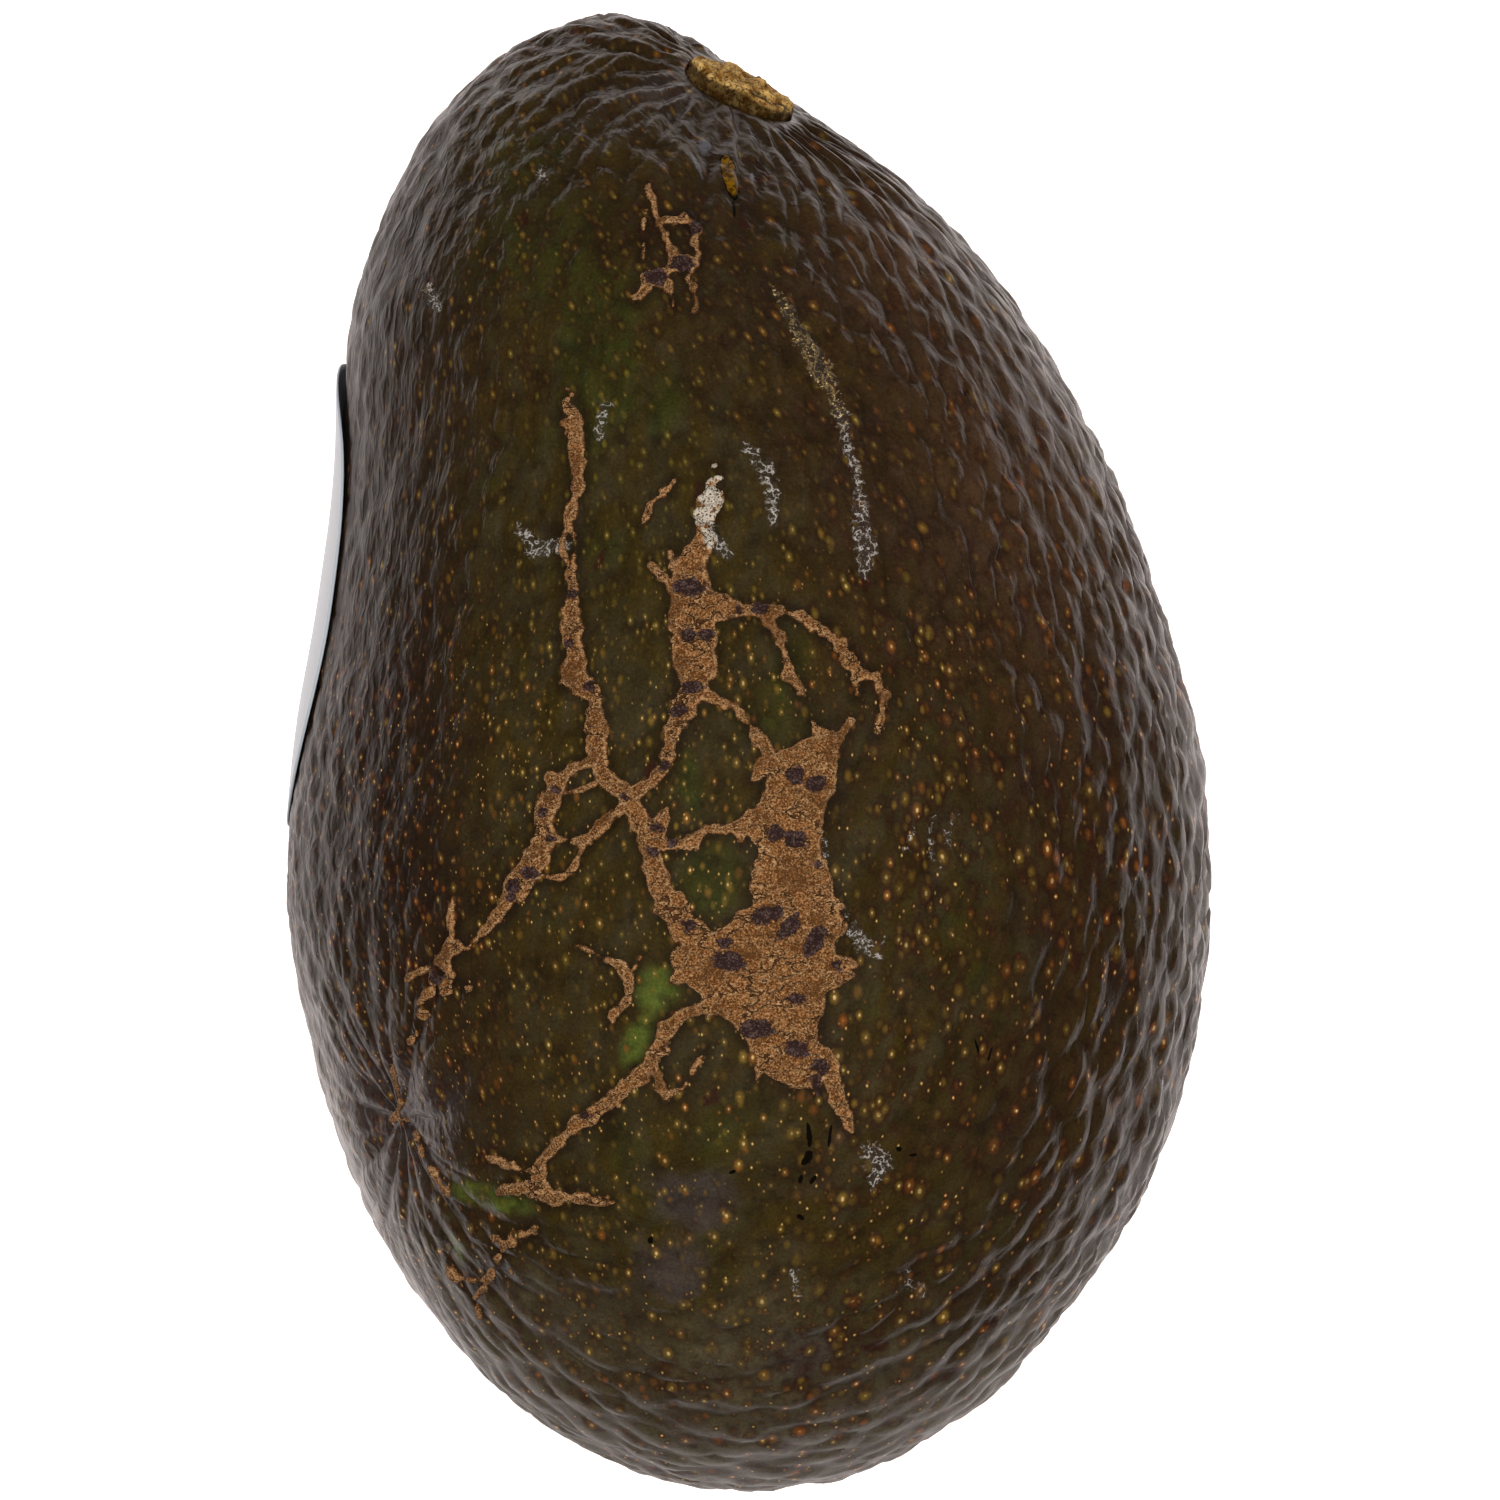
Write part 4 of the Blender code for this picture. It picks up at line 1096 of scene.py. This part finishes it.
# A fine sheet over the skin wherever there is cork. It rises from just under the skin at its ragged
# edge to its full height inside, with a grainy top, and is then given a thickness downwards.
def buildCorkNet():
    low, high, bottom, top = corkNet["box"]
    step = corkNet["step"]
    seenX, seenY = np.meshgrid(np.arange(low, high, step), np.arange(bottom, top, step), indexing="ij")
    inside = netDistance(seenX, seenY)
    flatPlace = np.stack([seenX, seenY, np.zeros_like(seenX)], axis=-1)
    inside = inside + corkNet["swell"] + layeredNoise(flatPlace, corkNet["ragged"])
    crumbs = 0.15 + layeredNoise(flatPlace, corkNet["crumbs"])
    inside = inside - crumbs * softEllipses(seenX, seenY, corkNet["crumbling"])
    keep = inside > -0.2
    cells = keep[:-1, :-1] | keep[1:, :-1] | keep[:-1, 1:] | keep[1:, 1:]
    number = np.arange(seenX.size).reshape(seenX.shape)
    corners = np.stack([number[:-1, :-1], number[1:, :-1], number[1:, 1:], number[:-1, 1:]], axis=-1)
    used, faces = np.unique(corners[cells], return_inverse=True)
    faces = faces.reshape(-1, 4)
    x, y, depth = seenX.ravel()[used], seenY.ravel()[used], inside.ravel()[used]

    direction = directionUnder(x, y)
    skin = reliefAt(direction)
    isle = islandDistance(x, y, corkNet["islands"])
    place = np.stack([x, y, 0 * x], axis=-1)
    wrinkle = np.abs(softNoise(place * (1, 1.8, 1), 1.4, 46))
    grains = layeredNoise(place, corkNet["grains"]) - 0.08 * (1 - smoothStep(0.0, 0.14, wrinkle))
    grains = grains * smoothStep(0.0, 0.4, depth) * (1 - smoothStep(-0.1, 0.05, isle))
    height = corkNet["rise"] * smoothStep(-0.12, 0.35, depth) * (1 - 0.35 * smoothStep(-0.05, 0.1, isle))
    height = height + grains - corkNet["bury"]
    points = skin["point"] + bodyNormal(direction) * (skin["rise"] + height)[:, None]
    attributes = {
        "island": isle,
        "wax": softEllipses(x, y, corkNet["wax"]),
        # nearness to the ragged edge, where the finish paints a highlight and a shadow
        "rim": 1 - smoothStep(0.0, 0.42, depth),
    }
    piece = addPiece("cork_net", points, faces.tolist(), attributes)
    thicken = piece.modifiers.new("thickness", "SOLIDIFY")
    thicken.thickness = corkNet["thickness"] * millimetre
    thicken.offset = -1
    return piece


# The stem's stub


stemButton = {
    "radius": 3.9,
    "brokenAway": 1.7,     # how much shorter it is on the side towards the camera
    "slope": 0.10,         # rise of its top towards the camera
    "proud": 0.80,
    "underside": -1.55,
    "spokes": 180,
    # the profile's points, as shares of the radius and heights over the top's edge or the underside
    "shoulder": ((0.955, -0.06), (0.975, -0.16), (0.99, -0.3), (1.0, -0.45)),
    "foot": ((0.97, 0.08), (0.9, 0.0), (0.5, 0.0)),
    "fall": 56,            # the larger, the less its rim falls away with the fruit's surface
    "crumble": ((1.3, 0.34, 51), (0.65, 0.27, 52), (0.33, 0.17, 53)),   # size, height, seed
}


# A disc turned round the stem's axis: a crumbly top, a rough side and a plain underside. The top and side
# are moved in and out by noise, and the deepest parts and the side wall are kept for the finish's painted
# shade.
def buildStemButton():
    axis = stemAxis()
    turns = np.linspace(0, 2 * np.pi, stemButton["spokes"], endpoint=False)
    across = unit(np.cross(axis, (0, 0, 1)))
    upward = np.cross(axis, across)
    spokes = np.cos(turns)[:, None] * across + np.sin(turns)[:, None] * upward
    proud, underside = stemButton["proud"], stemButton["underside"]
    profile = [(reach, proud + 0.12 - 0.12 * reach**2) for reach in np.linspace(0.04, 0.93, 30)]
    profile += [(reach, proud + height) for reach, height in stemButton["shoulder"]]
    profile += [(1.0, height) for height in np.linspace(proud - 0.6, underside + 0.3, 8)]
    profile += [(reach, underside + height) for reach, height in stemButton["foot"]]
    reach, height = np.array(profile).T
    towardsCamera = spokes[:, 2] / spokes[:, 2].max()
    facing = np.maximum(towardsCamera, 0) ** 2
    outline = stemButton["radius"] * (1 + 0.03 * np.sin(2 * turns + 0.6) + 0.03 * np.sin(5 * turns))
    outline = outline - stemButton["brokenAway"] * facing
    radius = reach[:, None] * outline
    rings = stemPoint + radius[..., None] * spokes
    sloped = stemButton["slope"] * radius * towardsCamera * smoothStep(-0.6, 0.2, height)[:, None]
    rings = rings + (height[:, None] + sloped - radius**2 / stemButton["fall"])[..., None] * axis
    crumble = layeredNoise(rings, stemButton["crumble"])
    free = smoothStep(underside + 0.2, proud - 0.8, height)[:, None]
    outwards = unit(axis * (1.1 - reach[:, None, None]) + spokes * reach[:, None, None] ** 6)
    rings = rings + outwards * (crumble * free)[..., None]
    firstPole = rings[0].mean(axis=0)
    points, faces = closedGrid(rings, firstPole, stemPoint + underside * axis)
    # the side wall and the deepest crumbs are marked for painted shade
    side = smoothStep(proud - 0.05, proud - 0.35, height)[:, None]
    stubShade = np.maximum(smoothStep(-0.06, -0.22, crumble), side)
    stubShade = np.concatenate([stubShade.ravel(), [0, 0]])
    return addPiece("stem_stub", points, faces, {"stubShade": stubShade})


# The label


# An oval laid on the flank: its spokes reach out in arc length round the body and along it. The
# sheet stands a little off the pebbles, and its end towards the stem curls away.
def buildLabel():
    spokes = np.linspace(0, 2 * np.pi, 120, endpoint=False)
    power = labelShape["squareness"]
    across = np.sign(np.cos(spokes)) * np.abs(np.cos(spokes)) ** power
    along = np.sign(np.sin(spokes)) * np.abs(np.sin(spokes)) ** power
    girth = halfWidthAt(2 * labelShape["middleY"] / fruitShape["length"])

    def sheet(reach, height):
        up = reach[:, None] * along
        share = 2 * (labelShape["middleY"] + up * labelShape["length"] / 2) / fruitShape["length"]
        angle = labelShape["middleAngle"] - reach[:, None] * across * labelShape["width"] / 2 / girth
        ring = np.sqrt(1 - share**2)
        direction = np.stack([ring * np.cos(angle), share, ring * np.sin(angle)], axis=-1)
        point = bodyPoint(direction)
        edge = reach[:, None] * across
        curl = labelShape["lift"] * smoothStep(0.25, 0.95, up) * smoothStep(-0.2, 0.7, edge)
        ripple = 0.10 * softNoise(point, 5.5, 61) * smoothStep(0.3, 1.0, reach)[:, None]
        return point + bodyNormal(direction) * (height + curl + ripple)[..., None]

    reaches = np.linspace(0.04, 1, 36)
    under = labelShape["standOff"]
    over = under + labelShape["thickness"]
    rings = np.concatenate([sheet(reaches, over), sheet(reaches[::-1], under)])
    points, faces = closedGrid(rings, rings[0].mean(axis=0), rings[-1].mean(axis=0))
    return addPiece("blank_label", points, faces)


# Build everything


pieces = [
    (buildFruit, skinFinish, "fruit", "skin"),
    (buildCorkNet, corkFinish, None, "skin"),
    (buildStemButton, stemFinish, "stem_button", "stem_cork"),
    (buildLabel, labelFinish, "label", "label_film"),
]
for build, finish, node, slotName in pieces:
    piece = build()
    piece.data.materials.append(finish())
    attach(piece, "root")
    if node:
        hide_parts(node)
    print("made", piece.name, len(piece.data.polygons), "faces")


# Stage, light and camera


def addStage():
    radius, below, sides = 0.16, -0.0002, 96
    turns = np.linspace(0, 2 * np.pi, sides, endpoint=False)
    rim = np.stack([radius * np.cos(turns), radius * np.sin(turns), np.full(sides, below)], axis=-1)
    mesh = bpy.data.meshes.new("table")
    mesh.from_pydata(rim.tolist(), [], [list(range(sides))])
    table = bpy.data.objects.new("table", mesh)
    paper = Finish("table paper", {"Base Color": (0.9, 0.86, 0.84, 1), "Roughness": 0.9,
                                   "Emission Color": (1, 0.87, 0.84, 1), "Emission Strength": 0.94})
    mesh.materials.append(paper.material)
    bpy.context.scene.collection.objects.link(table)


lamps = {
    # name: place, aim, width, height, watts, spread in degrees, seen in reflections
    "overhead sheet": ((0.0, 0.0, 0.6), (0, 0, 0), 0.6, 0.6, 1.9, 100, False),
}


def addLamps():
    for name, (place, aim, width, height, watts, spread, reflected) in lamps.items():
        lamp = bpy.data.lights.new(name, "AREA")
        lamp.shape = "RECTANGLE"
        lamp.size = width
        lamp.size_y = height
        lamp.energy = watts
        lamp.spread = np.radians(spread)
        holder = bpy.data.objects.new(name, lamp)
        holder.location = place
        holder.rotation_euler = (Vector(place) - Vector(aim)).to_track_quat("Z", "Y").to_euler()
        holder.visible_camera = False
        holder.visible_glossy = reflected
        bpy.context.scene.collection.objects.link(holder)


# The room: pale where the camera sees it, dim where it lights or is mirrored.
def addRoom():
    room = bpy.data.worlds.new("room")
    bpy.context.scene.world = room
    room.use_nodes = True
    tree = room.node_tree
    pale = tree.nodes["Background"]
    pale.inputs["Color"].default_value = (1, 1, 1, 1)
    path = tree.nodes.new("ShaderNodeLightPath")
    strength = tree.nodes.new("ShaderNodeMapRange")
    strength.inputs["To Min"].default_value = 0.03
    strength.inputs["To Max"].default_value = 1.0
    tree.links.new(path.outputs["Is Camera Ray"], strength.inputs["Value"])
    tree.links.new(strength.outputs["Result"], pale.inputs["Strength"])


def addCamera():
    lens = bpy.data.cameras.new("camera")
    lens.lens = cameraPlace["lens"]
    lens.sensor_width = cameraPlace["sensor"]
    lens.clip_start = 0.05
    lens.clip_end = 20
    camera = bpy.data.objects.new("camera", lens)
    x, y = cameraPlace["middle"]
    camera.location = Vector((x, y, cameraDistance + fruitShape["liftOffTable"])) * millimetre
    bpy.context.scene.collection.objects.link(camera)
    bpy.context.scene.camera = camera


addStage()
addLamps()
addRoom()
addCamera()
bpy.context.scene.view_settings.view_transform = "Standard"
print("stage, lamps and camera are in place")
